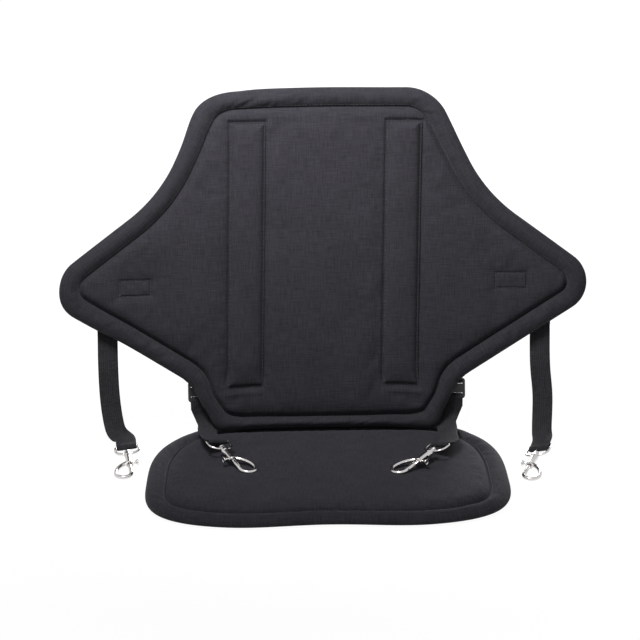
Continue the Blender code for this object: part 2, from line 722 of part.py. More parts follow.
def build_turned(name, frame, profile, segments, finish, closed=False):
    """A turned piece from (along, radius) points; a closed profile makes a ring."""
    points = []
    rings = []
    for a, radius in profile:
        if radius == 0.0:
            rings.append([len(points)])
            points.append(along_snap(frame, a))
            continue
        rings.append(list(range(len(points), len(points) + segments)))
        for k in range(segments):
            angle = 2.0 * math.pi * k / segments
            points.append(along_snap(frame, a, radius * math.cos(angle), radius * math.sin(angle)))
    pairs = list(zip(rings, rings[1:]))
    if closed:
        pairs.append((rings[-1], rings[0]))
    faces = []
    for here, after in pairs:
        if len(here) == 1:
            faces += [(here[0], after[k], after[(k + 1) % segments]) for k in range(segments)]
        elif len(after) == 1:
            faces += [(here[k], after[0], here[(k + 1) % segments]) for k in range(segments)]
        else:
            faces += strip_faces(here, after)
    return add_solid(name, points, faces, finish)


def build_wire(name, frame, path, radius, sides, finish, closed=False):
    """Round wire along a path of (along, across) points in the snap's plane; radius may vary."""
    count = len(path)
    points = []
    rings = []
    for i in range(count):
        here = Vector(path[i])
        before = Vector(path[i - 1]) if closed or i else here
        after = Vector(path[(i + 1) % count]) if closed or i < count - 1 else here
        ahead = (after - before).normalized()
        normal = Vector((-ahead.y, ahead.x))
        thick = radius[i] if isinstance(radius, list) else radius
        rings.append(list(range(len(points), len(points) + sides)))
        for k in range(sides):
            angle = 2.0 * math.pi * k / sides
            flat = here + normal * (thick * math.cos(angle))
            points.append(along_snap(frame, flat.x, flat.y, thick * math.sin(angle)))
    pairs = list(zip(rings, rings[1:]))
    if closed:
        pairs.append((rings[-1], rings[0]))
    faces = []
    for here, after in pairs:
        faces += strip_faces(here, after)
    if not closed:
        faces += [tuple(reversed(rings[0])), tuple(rings[-1])]
    return add_solid(name, points, faces, finish)


def arc_points(centre, radius, start, end, steps):
    """Points on an arc in the snap's plane, angles in degrees."""
    made = []
    for k in range(steps + 1):
        angle = math.radians(start + (end - start) * k / steps)
        made.append((centre[0] + radius * math.cos(angle), centre[1] + radius * math.sin(angle)))
    return made


def build_eye(name, frame, finish):
    """The swivelling eye: a bow of wire whose ends run into the boss that the stem turns in."""
    half = EYE_WIDTH / 2.0 - EYE_WIRE_RADIUS
    corner = EYE_CORNER_RADIUS
    hole = STEM_RADIUS + RUNNING_GAP
    arm_end = (hole + BOSS_RADIUS) / 2.0
    boss_end = BOSS_START + BOSS_LENGTH
    drop = (BOSS_START + boss_end) / 2.0 - EYE_SHOULDER
    arm = []
    for k in range(4):
        angle = math.radians(30.0 * k)
        arm.append((EYE_SHOULDER + drop * math.cos(angle), arm_end + (half - arm_end) * math.sin(angle)))
    arm += arc_points((EYE_WIRE_RADIUS + corner, half - corner), corner, 90.0, 180.0, 2)
    path = arm + [(EYE_WIRE_RADIUS, 0.0)] + [(a, -b) for a, b in reversed(arm)]
    eye = build_wire(name, frame, path, EYE_WIRE_RADIUS, 6, finish)
    boss = build_turned("boss", frame, [
        (BOSS_START, hole), (BOSS_START, BOSS_RADIUS), (boss_end, BOSS_RADIUS), (boss_end, hole)],
        12, finish, closed=True)
    return combine(eye, boss, "UNION")


def hook_path():
    """The hook's middle line: out from the housing, round the nose and back to the bolt's tip."""
    reach = HOOK_BULGE - HOOK_WIRE_RADIUS
    nose_radius = reach / 2.0
    nose_centre = SNAP_LENGTH - HOOK_WIRE_RADIUS - nose_radius
    run = nose_centre - HOOK_START
    rise = reach - HOOK_ROOT
    flank_radius = (run ** 2 + rise ** 2) / (2.0 * rise)
    start = math.degrees(math.acos(-run / flank_radius))
    flank = arc_points((nose_centre, reach - flank_radius), flank_radius, start, 90.0, 5)
    nose = arc_points((nose_centre, nose_radius), nose_radius, 90.0, -90.0, 7)
    return flank + nose[1:] + [(HOOK_TIP, 0.0)]


def build_body(name, frame, finish):
    """The snap's body: headed stem, swivel barrel, bolt housing and hook in one casting."""
    bore = BOLT_RADIUS + RUNNING_GAP
    head_end = BOSS_START - RUNNING_GAP
    head_start = head_end - HEAD_LENGTH
    barrel_start = BOSS_START + BOSS_LENGTH + RUNNING_GAP
    barrel_end = barrel_start + BARREL_LENGTH
    body = build_turned(name, frame, [
        (head_start, 0.0), (head_start, HEAD_CROWN), (head_start + HEAD_CROWN_RISE, HEAD_RADIUS),
        (head_end, HEAD_RADIUS), (head_end, STEM_RADIUS), (barrel_start, STEM_RADIUS),
        (barrel_start, BARREL_RADIUS), (barrel_end, BARREL_RADIUS),
        (barrel_end + BARREL_TAPER, HOUSING_RADIUS), (HOUSING_END, HOUSING_RADIUS), (HOUSING_END, bore), (BORE_START, bore), (BORE_START, 0.0)],
        12, finish)
    path = hook_path()
    root = [HOOK_WIRE_RADIUS * HOOK_ROOT_SWELL] * 3
    thick = root + [HOOK_WIRE_RADIUS] * (len(path) - 4) + [HOOK_WIRE_RADIUS * HOOK_SOCKET_SWELL]
    combine(body, build_wire("hook", frame, path, thick, 7, finish), "UNION")
    bore_tool = build_turned("bore", frame, [
        (BORE_START, 0.0), (BORE_START, bore), (HOOK_TIP, bore), (HOOK_TIP, 0.0)], 12, finish)
    combine(body, bore_tool, "DIFFERENCE")
    slot_half = KNOB_POST_RADIUS + RUNNING_GAP
    low, high = KNOB_AT - BOLT_TRAVEL - slot_half, KNOB_AT + slot_half
    corners = [(low, -slot_half), (high, -slot_half), (high, slot_half), (low, slot_half)]
    points = [along_snap(frame, a, -bore / 2.0, c) for a, c in corners]
    points += [along_snap(frame, a, -BARREL_RADIUS - RUNNING_GAP, c) for a, c in corners]
    faces = [(0, 1, 2, 3), (7, 6, 5, 4)] + strip_faces([0, 1, 2, 3], [4, 5, 6, 7])
    slot = add_solid("slot", points, faces, finish)
    return combine(body, slot, "DIFFERENCE")


def build_bolt(name, frame, finish):
    """The sliding bolt that closes the hook, with its flared thumb knob."""
    tip = HOOK_TIP - RUNNING_GAP
    bolt = build_turned(name, frame, [
        (BOLT_REAR, 0.0), (BOLT_REAR, BOLT_RADIUS), (tip, BOLT_RADIUS), (tip, 0.0)], 10, finish)
    foot = along_snap(frame, KNOB_AT) - frame.side * EYE_WIRE_RADIUS
    knob = build_turned("knob", Frame(foot, -frame.side, frame.ahead, frame.up), [
        (0.0, 0.0), (0.0, KNOB_POST_RADIUS), (KNOB_NECK, KNOB_POST_RADIUS),
        (KNOB_HEIGHT - KNOB_RIM, KNOB_RADIUS), (KNOB_HEIGHT, KNOB_RADIUS), (KNOB_HEIGHT, 0.0)], 10, finish)
    return combine(bolt, knob, "UNION")


def build_spring(name, frame, finish):
    """The coil spring that pushes the bolt shut."""
    radius = BOLT_RADIUS - SPRING_WIRE_RADIUS
    start = BORE_START + SPRING_WIRE_RADIUS + LAYER_GAP
    end = BOLT_REAR - SPRING_WIRE_RADIUS - LAYER_GAP
    steps = SPRING_TURNS * 7
    points = []
    rings = []
    for i in range(steps + 1):
        turn = 2.0 * math.pi * SPRING_TURNS * i / steps
        a = start + (end - start) * i / steps
        rings.append(list(range(len(points), len(points) + 3)))
        for k in range(3):
            angle = math.pi / 1.5 * k
            r = radius + SPRING_WIRE_RADIUS * math.cos(angle)
            points.append(along_snap(frame, a + SPRING_WIRE_RADIUS * math.sin(angle),
                                     r * math.cos(turn), r * math.sin(turn)))
    faces = [tuple(rings[0]), tuple(reversed(rings[-1]))]
    for here, after in zip(rings, rings[1:]):
        faces += strip_faces(here, after)
    return add_solid(name, points, faces, finish)


def snap_places():
    """Each snap by its name: the axes of its body and eye, and how its strap rises from it."""
    rows = (
        ("upper_left", FLOOR_SNAP_LEFT, FLOOR_SNAP_SLOPE, 0.0, 1.0, UPPER_EYE_RISE),
        ("upper_right", FLOOR_SNAP_RIGHT, FLOOR_SNAP_SLOPE, 0.0, -1.0, UPPER_EYE_RISE),
        ("lower_left", SEAT_SNAP_LEFT, SEAT_SNAP_SLOPE, SEAT_THICKNESS, -1.0, LOWER_EYE_RISE),
        ("lower_right", SEAT_SNAP_RIGHT, SEAT_SNAP_SLOPE, SEAT_THICKNESS, 1.0, LOWER_EYE_RISE),
    )
    snaps = {}
    for word, place, slope, floor, bulge, rise in rows:
        body = snap_frame(place, slope, floor, bulge)
        snaps[word] = Snap(body, rolled(body, place.roll), rise)
    return snaps


def build_snap(word, snap, chrome, steel):
    """One swivel bolt snap: eye, body, bolt and spring."""
    build_eye(word + "_snap_eye", snap.eye, chrome)
    build_body(word + "_snap_body", snap.body, chrome)
    build_bolt(word + "_snap_bolt", snap.body, chrome)
    build_spring(word + "_snap_spring", snap.body, steel)


def strap_end(snap):
    """Where a strap leaves its eye: the eye bar, the way back along the strap, its width and its top."""
    bar = along_snap(snap.eye, EYE_WIRE_RADIUS)
    width = snap.eye.side * math.copysign(1.0, snap.eye.side.x)
    back = Vector((-snap.body.ahead.x, -snap.body.ahead.y, 0.0)).normalized()
    away = back * math.cos(snap.rise) + Vector((0.0, 0.0, math.sin(snap.rise)))
    away = (away - width * width.dot(away)).normalized()
    top = width.cross(away)
    return Frame(bar, away, width, top * math.copysign(1.0, top.z))


def build_strap(word, across, along, drop, middle, snap, finish):
    """A strap from its adjuster's lower bar to its snap's eye, folded round both."""
    frame = back_frame(across, along, ADJUSTER_DEPTH)
    bar_along = along - WEB_WIDTH / 2.0 - drop - 2.0 * ADJUSTER_PITCH
    bar = place_on_back(across, bar_along, -ADJUSTER_DEPTH)
    start = loop_round(bar, -BACK_UP, frame.up, frame.side, WEB_LOOP_RADIUS, ADJUSTER_TAIL)
    eye_radius = EYE_WIRE_RADIUS + LAYER_GAP + WEB_THICKNESS / 2.0
    last = strap_end(snap)
    end = loop_round(last.origin, last.ahead, -last.up, last.side, eye_radius, EYE_TAIL)
    knots = [start[-1]] + middle + [end[-1]]
    route = start[:-1] + smooth_route(knots, STRAP_STEPS)[:-1] + list(reversed(end))
    build_ribbon(word + "_strap", route, finish)


def upper_route(side, snap):
    """The upper strap hangs behind its wing and curves forward to its snap on the ground."""
    top = place_on_back(side * UPPER_STRAP_ACROSS, UPPER_HANG_LOW, -ADJUSTER_DEPTH)
    eye = strap_end(snap)
    wide = back_frame(side * UPPER_STRAP_ACROSS, UPPER_HANG_LOW, ADJUSTER_DEPTH).side
    drift = eye.origin - top
    bow = Vector((UPPER_BOW_RIGHT if side > 0.0 else -UPPER_BOW_LEFT, 0.0, 0.0))
    route = [(top, wide)]
    for share in UPPER_COURSE:
        passed = top + bow + Vector((drift.x * share[0], drift.y * share[1], drift.z * share[2]))
        route.append((passed, wide.lerp(eye.side, share[0])))
    route.append((eye.origin + eye.ahead * STRAP_EYE_LEAD + eye.up * WEB_THICKNESS, eye.side))
    return route


def lower_route(side, snap):
    """The lower strap comes down behind the backrest's lower corner, under it and over the seat."""
    corner = place_on_back(side * (BASE_HALF_WIDTH + LOWER_CORNER_OUT), 0.0, 0.0)
    eye = strap_end(snap)
    lying = SEAT_THICKNESS + WEB_THICKNESS + WEB_WIDTH / 2.0 * math.sin(LOWER_TWIST)

    def twisted(share):
        angle = LOWER_TWIST * share
        return Vector((math.cos(angle), 0.0, side * math.sin(angle)))

    rear = corner.y + EDGE_HALF + TAPE + LOWER_REAR_GAP
    front = corner.y - EDGE_HALF - TAPE - LOWER_FRONT_GAP
    lead_in = Vector((side * LOWER_LEAD_OUT, WEB_THICKNESS, LOWER_LEAD_RISE))
    under = Vector((corner.x, front, lying))
    lead_out = eye.origin + eye.ahead * STRAP_EYE_LEAD + eye.up * WEB_THICKNESS
    return [
        (Vector((corner.x, rear, lying)) + lead_in, twisted(0.5)),
        (Vector((corner.x, (rear + corner.y) / 2.0, lying + WEB_THICKNESS)), twisted(1.0)),
        (under, twisted(1.0)),
        (under.lerp(lead_out, LOWER_MIDDLE), twisted(1.0).lerp(eye.side, LOWER_MIDDLE)),
        (lead_out, eye.side),
    ]


def main():
    clear_scene()
    fabric = material("black_fabric", (0.030, 0.029, 0.034), 0.85)
    tape = material("black_tape", (0.026, 0.025, 0.030), 0.80)
    webbing = material("black_webbing", (0.020, 0.020, 0.023), 0.75)
    foam = material("grey_foam", (0.20, 0.20, 0.21), 0.95)
    plastic = material("black_plastic", (0.040, 0.040, 0.042), 0.45)
    chrome = material("bright_metal", (0.80, 0.78, 0.76), 0.15, 1.0)
    steel = material("spring_steel", (0.50, 0.50, 0.50), 0.30, 1.0)

    build_back(fabric, tape, foam)
    build_seat(fabric, tape, foam)
    build_stays(fabric, plastic)
    build_hinge_strip(tape)
    snaps = snap_places()
    for word, snap in snaps.items():
        build_snap(word, snap, chrome, steel)
    for side, hand in ((-1.0, "left"), (1.0, "right")):
        upper, lower = "upper_" + hand, "lower_" + hand
        rows = (
            (upper, UPPER_STRAP_ACROSS, UPPER_ANCHOR_HEIGHT, UPPER_ANCHOR_DROP, UPPER_ANCHOR_INNER,
             upper_route(side, snaps[upper])),
            (lower, LOWER_STRAP_ACROSS, LOWER_ANCHOR_HEIGHT, LOWER_ANCHOR_DROP, None,
             lower_route(side, snaps[lower])),
        )
        for word, across, along, drop, plate_inner, middle in rows:
            build_anchor(word + "_anchor", side * across, along, drop, plate_inner, webbing)
            bar = place_on_back(side * across, along - WEB_WIDTH / 2.0 - drop, -ADJUSTER_DEPTH)
            frame = back_frame(side * across, along, ADJUSTER_DEPTH)
            build_adjuster(word + "_adjuster", bar, frame, plastic)
            build_strap(word, side * across, along, drop, middle, snaps[word], webbing)


main()
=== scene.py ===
"""Looks of the kayak seat: padded, bound and stitched cloth, webbing and bright snaps.

Everything is in metres in the frame's own axes. Each pad is laid out flat as a sewing pattern
(across, along, outwards) and put in place by the same rule as the solid that it stands for.
"""

import math
from collections import namedtuple

import bmesh
import bpy
import numpy as np
from mathutils import Matrix, Vector, geometry, kdtree, noise


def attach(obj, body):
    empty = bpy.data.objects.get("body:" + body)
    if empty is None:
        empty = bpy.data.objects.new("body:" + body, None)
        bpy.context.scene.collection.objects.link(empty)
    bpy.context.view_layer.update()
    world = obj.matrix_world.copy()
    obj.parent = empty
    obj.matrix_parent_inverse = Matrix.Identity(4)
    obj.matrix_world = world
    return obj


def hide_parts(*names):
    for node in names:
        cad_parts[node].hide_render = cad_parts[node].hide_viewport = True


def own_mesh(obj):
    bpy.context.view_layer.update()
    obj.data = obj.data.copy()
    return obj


# Backrest pattern, as the frame has it.
BACK_HEIGHT = 0.338
TOP_HALF_WIDTH = 0.1105
TOP_RADIUS = 0.042
SHOULDER_HALF_WIDTH = 0.1628
SHOULDER_HEIGHT = 0.2334
SHOULDER_RADIUS = 0.150
WING_HALF_SPAN = 0.2857
WING_HEIGHT = 0.1443
WING_RADIUS = 0.031
WAIST_HALF_WIDTH = 0.1352
WAIST_HEIGHT = 0.0479
WAIST_RADIUS = 0.050
BASE_HALF_WIDTH = 0.1085
BASE_RISE = 0.004
BASE_RADIUS = 0.014
BASE_FLAT_HALF_WIDTH = 0.045
BASE_BOW_RADIUS = 0.600
BACK_LEAN = math.radians(12.0)
BACK_CURL_RADIUS = 0.900
BACK_STANCE = 0.1067
BACK_FOOT_GAP = 0.0009

# Seat pad outline.
SEAT_HALF_WIDTH = 0.1723
SEAT_REAR = 0.1255
SEAT_FRONT = 0.1245
SEAT_WIDEST = -0.0190
SEAT_REAR_POWER = 3.3
SEAT_FRONT_POWER = 3.5
SEAT_NOTCH_DEPTH = 0.0070
SEAT_NOTCH_HALF_WIDTH = 0.0950
SEAT_THICKNESS = 0.0120
SEAT_MIDDLE = 0.0056

# Cloth sizes.
BAND = 0.0185
TAPE = 0.0009
REFERENCE_INSET = 0.0090
GATHER_MIDDLE = 0.20
GATHER_REACH = 0.15
CORNER_ROUND = 0.0060
PANEL_SPACING = 0.0050
TAPE_SPACING = 0.0018
BACK_FACE = 0.0064
BACK_REAR = 0.0050

# Stay pockets and box stitches.
POCKET_CENTRE = 0.0785
POCKET_WIDTH = 0.0352
POCKET_BOTTOM = 0.0430
POCKET_LENGTH = 0.2590
POCKET_GAP = 0.0006
POCKET_END_FULLNESS = 0.48
POCKET_TOP_LIFT = 0.0030
POCKET_DRIFTS = {-1.0: (-0.0006, 0.0068), 1.0: (-0.0030, 0.0072)}
STAY_WIDTH = 0.0225
STAY_LENGTH = 0.2500
STAY_THICKNESS = 0.0016
STAY_GAP = 0.0003
BOX_ACROSS = 0.1875
BOX_ALONG = {-1.0: 0.1446, 1.0: 0.1470}
BOX_WIDTH = 0.0306
BOX_HEIGHT = 0.0155

# Webbing, adjusters and anchors.
WEB_WIDTH = 0.0200
WEB_THICKNESS = 0.0014
WEB_LAYER_GAP = 0.0004
ADJUSTER_WIDTH = 0.0252
ADJUSTER_BAR = 0.0034
ADJUSTER_SLOT = 0.0052
ADJUSTER_BAR_SWELL = 0.0008
ADJUSTER_GRIP = 0.0091
ADJUSTER_THICKNESS = 0.0030
ADJUSTER_CORNER = 0.0030
UPPER_STRAP_ACROSS = 0.2140
UPPER_ANCHOR_HEIGHT = 0.1470
UPPER_ANCHOR_INNER = 0.1715
UPPER_ANCHOR_DROP = 0.0080
LOWER_STRAP_ACROSS = {-1.0: 0.1230, 1.0: 0.1272}
LOWER_ANCHOR_HEIGHT = 0.0620
LOWER_ANCHOR_DROP = 0.0060
ADJUSTER_TAIL = 0.0100
EYE_TAIL = 0.0090
WEB_LEG = (WEB_THICKNESS + WEB_LAYER_GAP) / 2.0
ROUTE_EASING = {"hung": 70, "laid": 34}
LAYER_GAP = 0.0003
SEWN_GAP = 0.0004
UPPER_EYE_LEAD = 0.0180
LOWER_EYE_LEAD = 0.0120
UPPER_HANG_LOW = 0.0600
UPPER_BOW_LEFT = 0.0008
UPPER_BOW_RIGHT = 0.0030
UPPER_COURSE = ((0.10, 0.10, 0.42), (0.26, 0.24, 0.74), (0.55, 0.48, 0.93))
LOWER_REAR_GAP = 0.0075
LOWER_FRONT_GAP = 0.0060
LOWER_CORNER_OUT = {-1.0: 0.0092, 1.0: 0.0132}
LOWER_TWIST = math.radians(16.0)
LOWER_LEAD_OUT = 0.0030
LOWER_LEAD_RISE = 0.0090
LOWER_MIDDLE = 0.55
EDGE_HALF = 0.0026
FRAME_TAPE = 0.0007
FOLD_LEAD = 2.4
HINGE_HALF_WIDTH = 0.0880
HINGE_HEIGHT = 0.0240
HINGE_FOOT = 0.0060
CREST_HALF = 0.0046

# Swivel bolt snap, measured along its axis from the outside of the eye.
SNAP_LENGTH = 0.0660
RUNNING_GAP = 0.0004
EYE_WIDTH = 0.0257
EYE_WIRE = 0.0012
EYE_CORNER = 0.0011
EYE_SHOULDER = 0.0080
BOSS_START = 0.0142
BOSS_LENGTH = 0.0028
BOSS_RADIUS = 0.0034
STEM_RADIUS = 0.0016
HEAD_LENGTH = 0.0030
HEAD_RADIUS = 0.0031
BARREL_RADIUS = 0.0039
BARREL_LENGTH = 0.0034
BARREL_TAPER = 0.0012
HOUSING_RADIUS = 0.0035
HOUSING_END = 0.0385
BORE_START = 0.0208
BOLT_RADIUS = 0.0019
BOLT_REAR = 0.0320
BOLT_TRAVEL = 0.0080
HOOK_TIP = 0.0540
HOOK_WIRE = 0.0019
HOOK_BULGE = 0.0168
HOOK_START = 0.0352
HOOK_ROOT = 0.0022
KNOB_AT = 0.0345
KNOB_POST = 0.0012
KNOB_RADIUS = 0.0029
KNOB_NECK = 0.0052
KNOB_HEIGHT = 0.0086
KNOB_DENT = 0.0022
KNOB_DENT_REACH = 0.0150
SPRING_WIRE = 0.0003
SPRING_TURNS = 5
SnapPlace = namedtuple("SnapPlace", "x y turn roll slope floor bulge rise")
FLOOR_OUT = SEAT_HALF_WIDTH + 0.0240
SNAPS = {
    "upper_left": SnapPlace(-FLOOR_OUT, 0.0697, -8.3, -5.0, 6.0, 0.0, 1.0, 14.0),
    "upper_right": SnapPlace(FLOOR_OUT + 0.0120, 0.0473, 21.2, 15.0, 6.0, 0.0, -1.0, 14.0),
    "lower_left": SnapPlace(-0.1056, 0.0381, -25.6, 10.0, 10.0, SEAT_THICKNESS, -1.0, -7.0),
    "lower_right": SnapPlace(0.1094, 0.0211, 39.9, 13.0, 10.0, SEAT_THICKNESS, 1.0, -7.0),
}

# Colours, as linear values.
CLOTH_DARK = (0.0170, 0.0163, 0.0200, 1.0)
CLOTH_LIGHT = (0.0560, 0.0540, 0.0640, 1.0)
WEB_DARK = (0.0140, 0.0137, 0.0160, 1.0)
WEB_LIGHT = (0.0520, 0.0505, 0.0570, 1.0)
THREAD_COLOUR = (0.0070, 0.0068, 0.0080, 1.0)
WEAVE_PITCH = 0.00080
WEB_PITCH = 0.00110
SLUB = 0.45
MOTTLE = 0.36
SHEEN_TINT = (0.75, 0.74, 0.82, 1.0)

# Sections of the padded panels and of the bands, as (inset, height) points.
BACK_FACE_LEVELS = (
    (0.0022, 0.0012), (0.0100, 0.0030), (0.0158, 0.0014), (0.0182, -0.0004), (0.0196, 0.0003),
    (0.0205, 0.0012), (0.0214, 0.0030), (0.0226, 0.0047), (0.0246, 0.0059), (0.0285, 0.0063))
BACK_REAR_LEVELS = (
    (0.0022, -0.0022), (0.0100, -0.0031), (0.0172, -0.0024), (0.0188, -0.0020), (0.0200, -0.0032),
    (0.0220, -0.0043), (0.0245, -0.0048), (0.0280, -0.0050))
SEAT_FACE_LEVELS = (
    (0.0022, 0.0066), (0.0100, 0.0086), (0.0158, 0.0068), (0.0182, 0.0050), (0.0196, 0.0060),
    (0.0205, 0.0069), (0.0214, 0.0086), (0.0226, 0.0103), (0.0246, 0.0115), (0.0285, 0.0119))
SEAT_REAR_LEVELS = (
    (0.0022, 0.0026), (0.0172, 0.0014), (0.0188, 0.0010), (0.0205, 0.0006), (0.0230, 0.0003),
    (0.0280, 0.0002))
BACK_BAND = (
    (0.0191, 0.0006), (0.0183, 0.0016), (0.0168, 0.0030), (0.0143, 0.0048), (0.0108, 0.0062),
    (0.0068, 0.0061), (0.0030, 0.0042), (0.0007, 0.0012), (0.0007, -0.0013), (0.0024, -0.0034),
    (0.0055, -0.0047), (0.0092, -0.0052), (0.0130, -0.0050), (0.0163, -0.0042), (0.0180, -0.0030),
    (0.0187, -0.0018))
SEAT_BAND = (
    (0.0191, 0.0008), (0.0183, 0.0017), (0.0168, 0.0030), (0.0143, 0.0046), (0.0108, 0.0058),
    (0.0068, 0.0056), (0.0030, 0.0034), (0.0007, 0.0004), (0.0006, -0.0018), (0.0020, -0.0038),
    (0.0050, -0.0050), (0.0092, -0.0053), (0.0130, -0.0053), (0.0163, -0.0052), (0.0180, -0.0050),
    (0.0187, -0.0046))
POCKET_LEVELS = (
    (0.0, -0.0034), (0.0, -0.0024), (0.0002, -0.0020), (0.0006, -0.0019), (0.0009, -0.0021),
    (0.0013, -0.0023), (0.0018, -0.0017), (0.0024, -0.0003), (0.0033, 0.0013), (0.0046, 0.0025),
    (0.0065, 0.0033), (0.0088, 0.0038), (0.0112, 0.0041), (0.0138, 0.0042), (0.0160, 0.0042))
POCKET_CORNER = 0.0030
POCKET_SPACING = 0.0015
POCKET_DIMPLE_PITCH = 0.0036

# Where the bands gather: place, reach and height of each gather.
BACK_GATHERS = (
    ((-0.060, BACK_HEIGHT), 0.042, 0.00130), ((-0.120, 0.320), 0.030, 0.00060),
    ((0.100, BACK_HEIGHT), 0.030, 0.00090), ((-0.200, 0.090), 0.055, 0.00150),
    ((0.200, 0.090), 0.055, 0.00150), ((WING_HALF_SPAN, WING_HEIGHT), 0.035, 0.00090),
    ((-WING_HALF_SPAN, WING_HEIGHT), 0.035, 0.00090), ((0.0, 0.0), 0.070, 0.00080))
SEAT_GATHERS = (
    ((-0.150, -0.100), 0.040, 0.00050), ((0.150, -0.100), 0.040, 0.00050),
    ((-0.150, 0.090), 0.040, 0.00040), ((0.150, 0.090), 0.040, 0.00040))

# Seams: ripples beside them, grooves as (reach, depth), and cloth kept down near them.
EDGE_SEARCH = 0.075
BACK_RIPPLE = 0.0105
SEAT_RIPPLE = 0.0110
RIPPLE_HEIGHT = 0.00042
BACK_SWELLS = ((0.00055, 0.060), (0.00022, 0.021))
SEAT_SWELLS = ((0.00050, 0.055), (0.00020, 0.019))
BOX_GROOVES = ((0.0009, 0.0012), (0.0048, 0.0012))
POCKET_VALLEYS = ((0.0019, 0.0026), (0.0060, 0.0009))
POCKET_LIP_DROP = 0.0052
POCKET_LIP_REACH = 0.0016
POCKET_LIP_HEIGHT = 0.0011
SEAM_HELD = (0.0195, 0.0290)
STITCH_HELD = (0.001, 0.006)
REFINE_REACH = 0.0060
REFINE_OUT = 0.0020
BACK_SWELL = 0.0022
SEAT_SWELL = 0.0016
SWELL_STEPS = 20
SWELL_CLOTH = {
    "quality": 5, "mass": 0.15, "tension_stiffness": 12.0, "compression_stiffness": 12.0,
    "shear_stiffness": 4.0, "bending_stiffness": 0.6, "use_pressure": True, "uniform_pressure_force": 4.0,
    "shrink_min": -0.012, "vertex_group_mass": "sewn"}

# Thread. A stitch is made of rings: share of its length, then thickness and height in radii.
STITCH_LENGTH = 0.0028
STITCH_GAP = 0.0008
STITCH_RADIUS = 0.00032
STITCH_SIDES = 5
STITCH_PROFILE = (
    (0.0, 0.25, -1.4), (0.12, 0.9, -0.1), (0.35, 1.0, 0.45), (0.65, 1.0, 0.45), (0.88, 0.9, -0.1),
    (1.0, 0.25, -1.4))

# Stitched boxes on the anchors, as half sizes.
ANCHOR_BOX = (0.0078, 0.0062)
ANCHOR_BOX_DROP = 0.0030
ANCHOR_THREAD_LIFT = 0.0026
PLATE_BOX = (0.0135, 0.0075)
PLATE_THREAD_LIFT = 0.0001
PLATE_COLUMNS = 24

# Camera and floor.
CAMERA_PLACE = Vector((-0.02872, -1.95996, 0.78849))
CAMERA_AHEAD = Vector((0.01147, 0.95215, -0.30543)).normalized()
CAMERA_ROLL = math.radians(-0.673)
CAMERA_LENS = 123.75
FLOOR_REACH = 12.0
FLOOR_DROP = 0.0004
WORLD_LIGHT = 0.14
LAMPS = (
    ("key", (-0.19, -0.25, 0.85), (0.0, 0.40, 0.45), 0.30, 4.7, math.radians(120.0)),
    ("fill", (-0.3, -1.9, 1.3), (0.0, 0.0, 0.12), 1.2, 2.2, math.pi),
    ("rear", (0.5, 2.2, 0.7), (0.0, 0.12, 0.15), 1.2, 34.0, math.pi))

Pad = namedtuple("Pad", "loop place lift")
Frame = namedtuple("Frame", "origin ahead side up")

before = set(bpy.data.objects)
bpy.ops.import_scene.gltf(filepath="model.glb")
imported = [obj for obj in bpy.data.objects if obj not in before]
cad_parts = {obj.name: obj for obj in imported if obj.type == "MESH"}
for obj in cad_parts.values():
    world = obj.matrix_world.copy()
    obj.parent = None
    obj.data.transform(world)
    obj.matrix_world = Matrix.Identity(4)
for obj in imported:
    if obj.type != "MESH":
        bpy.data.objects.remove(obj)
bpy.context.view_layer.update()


# Materials

def nodes_of(name):
    """A new material, its node tree and its shader."""
    made = bpy.data.materials.new(name)
    made.use_nodes = True
    tree = made.node_tree
    return made, tree, tree.nodes["Principled BSDF"]


def add_node(tree, kind, **settings):
    """A node with some of its properties and socket values set."""
    node = tree.nodes.new(kind)
    for key, value in settings.items():
        if key in node.inputs:
            node.inputs[key].default_value = value
        else:
            setattr(node, key, value)
    return node


def math_node(tree, operation, first, second=None):
    """A Math node; each operand is a socket or a number."""
    node = tree.nodes.new("ShaderNodeMath")
    node.operation = operation
    for slot, value in enumerate((first, second)):
        if value is None:
            continue
        if isinstance(value, (int, float)):
            node.inputs[slot].default_value = value
        else:
            tree.links.new(value, node.inputs[slot])
    return node.outputs[0]


def mixed_colour(tree, share, first, second):
    """A colour between two, by a socket."""
    node = tree.nodes.new("ShaderNodeMix")
    node.data_type = "RGBA"
    tree.links.new(share, node.inputs["Factor"])
    node.inputs["A"].default_value = first
    node.inputs["B"].default_value = second
    return node.outputs["Result"]


def ranged(tree, value, low, high, to_low, to_high):
    """A socket's value carried from one range to another and clamped."""
    node = tree.nodes.new("ShaderNodeMapRange")
    tree.links.new(value, node.inputs["Value"])
    for key, number in zip(("From Min", "From Max", "To Min", "To Max"), (low, high, to_low, to_high)):
        node.inputs[key].default_value = number
    return node.outputs["Result"]


def noise_at(tree, vector, scale, detail=3.0, roughness=0.55):
    """Fractal noise on a vector socket."""
    node = add_node(tree, "ShaderNodeTexNoise", Scale=scale, Detail=detail, Roughness=roughness)
    tree.links.new(vector, node.inputs["Vector"])
    return node.outputs["Fac"]


def object_place(tree):
    """The socket of a piece's own coordinates."""
    return tree.nodes.new("ShaderNodeTexCoord").outputs["Object"]


def add_bump(tree, shader, height, strength, distance):
    """Relief on a shader from a height socket."""
    bump = add_node(tree, "ShaderNodeBump", Strength=strength, Distance=distance)
    tree.links.new(height, bump.inputs["Height"])
    tree.links.new(bump.outputs["Normal"], shader.inputs["Normal"])


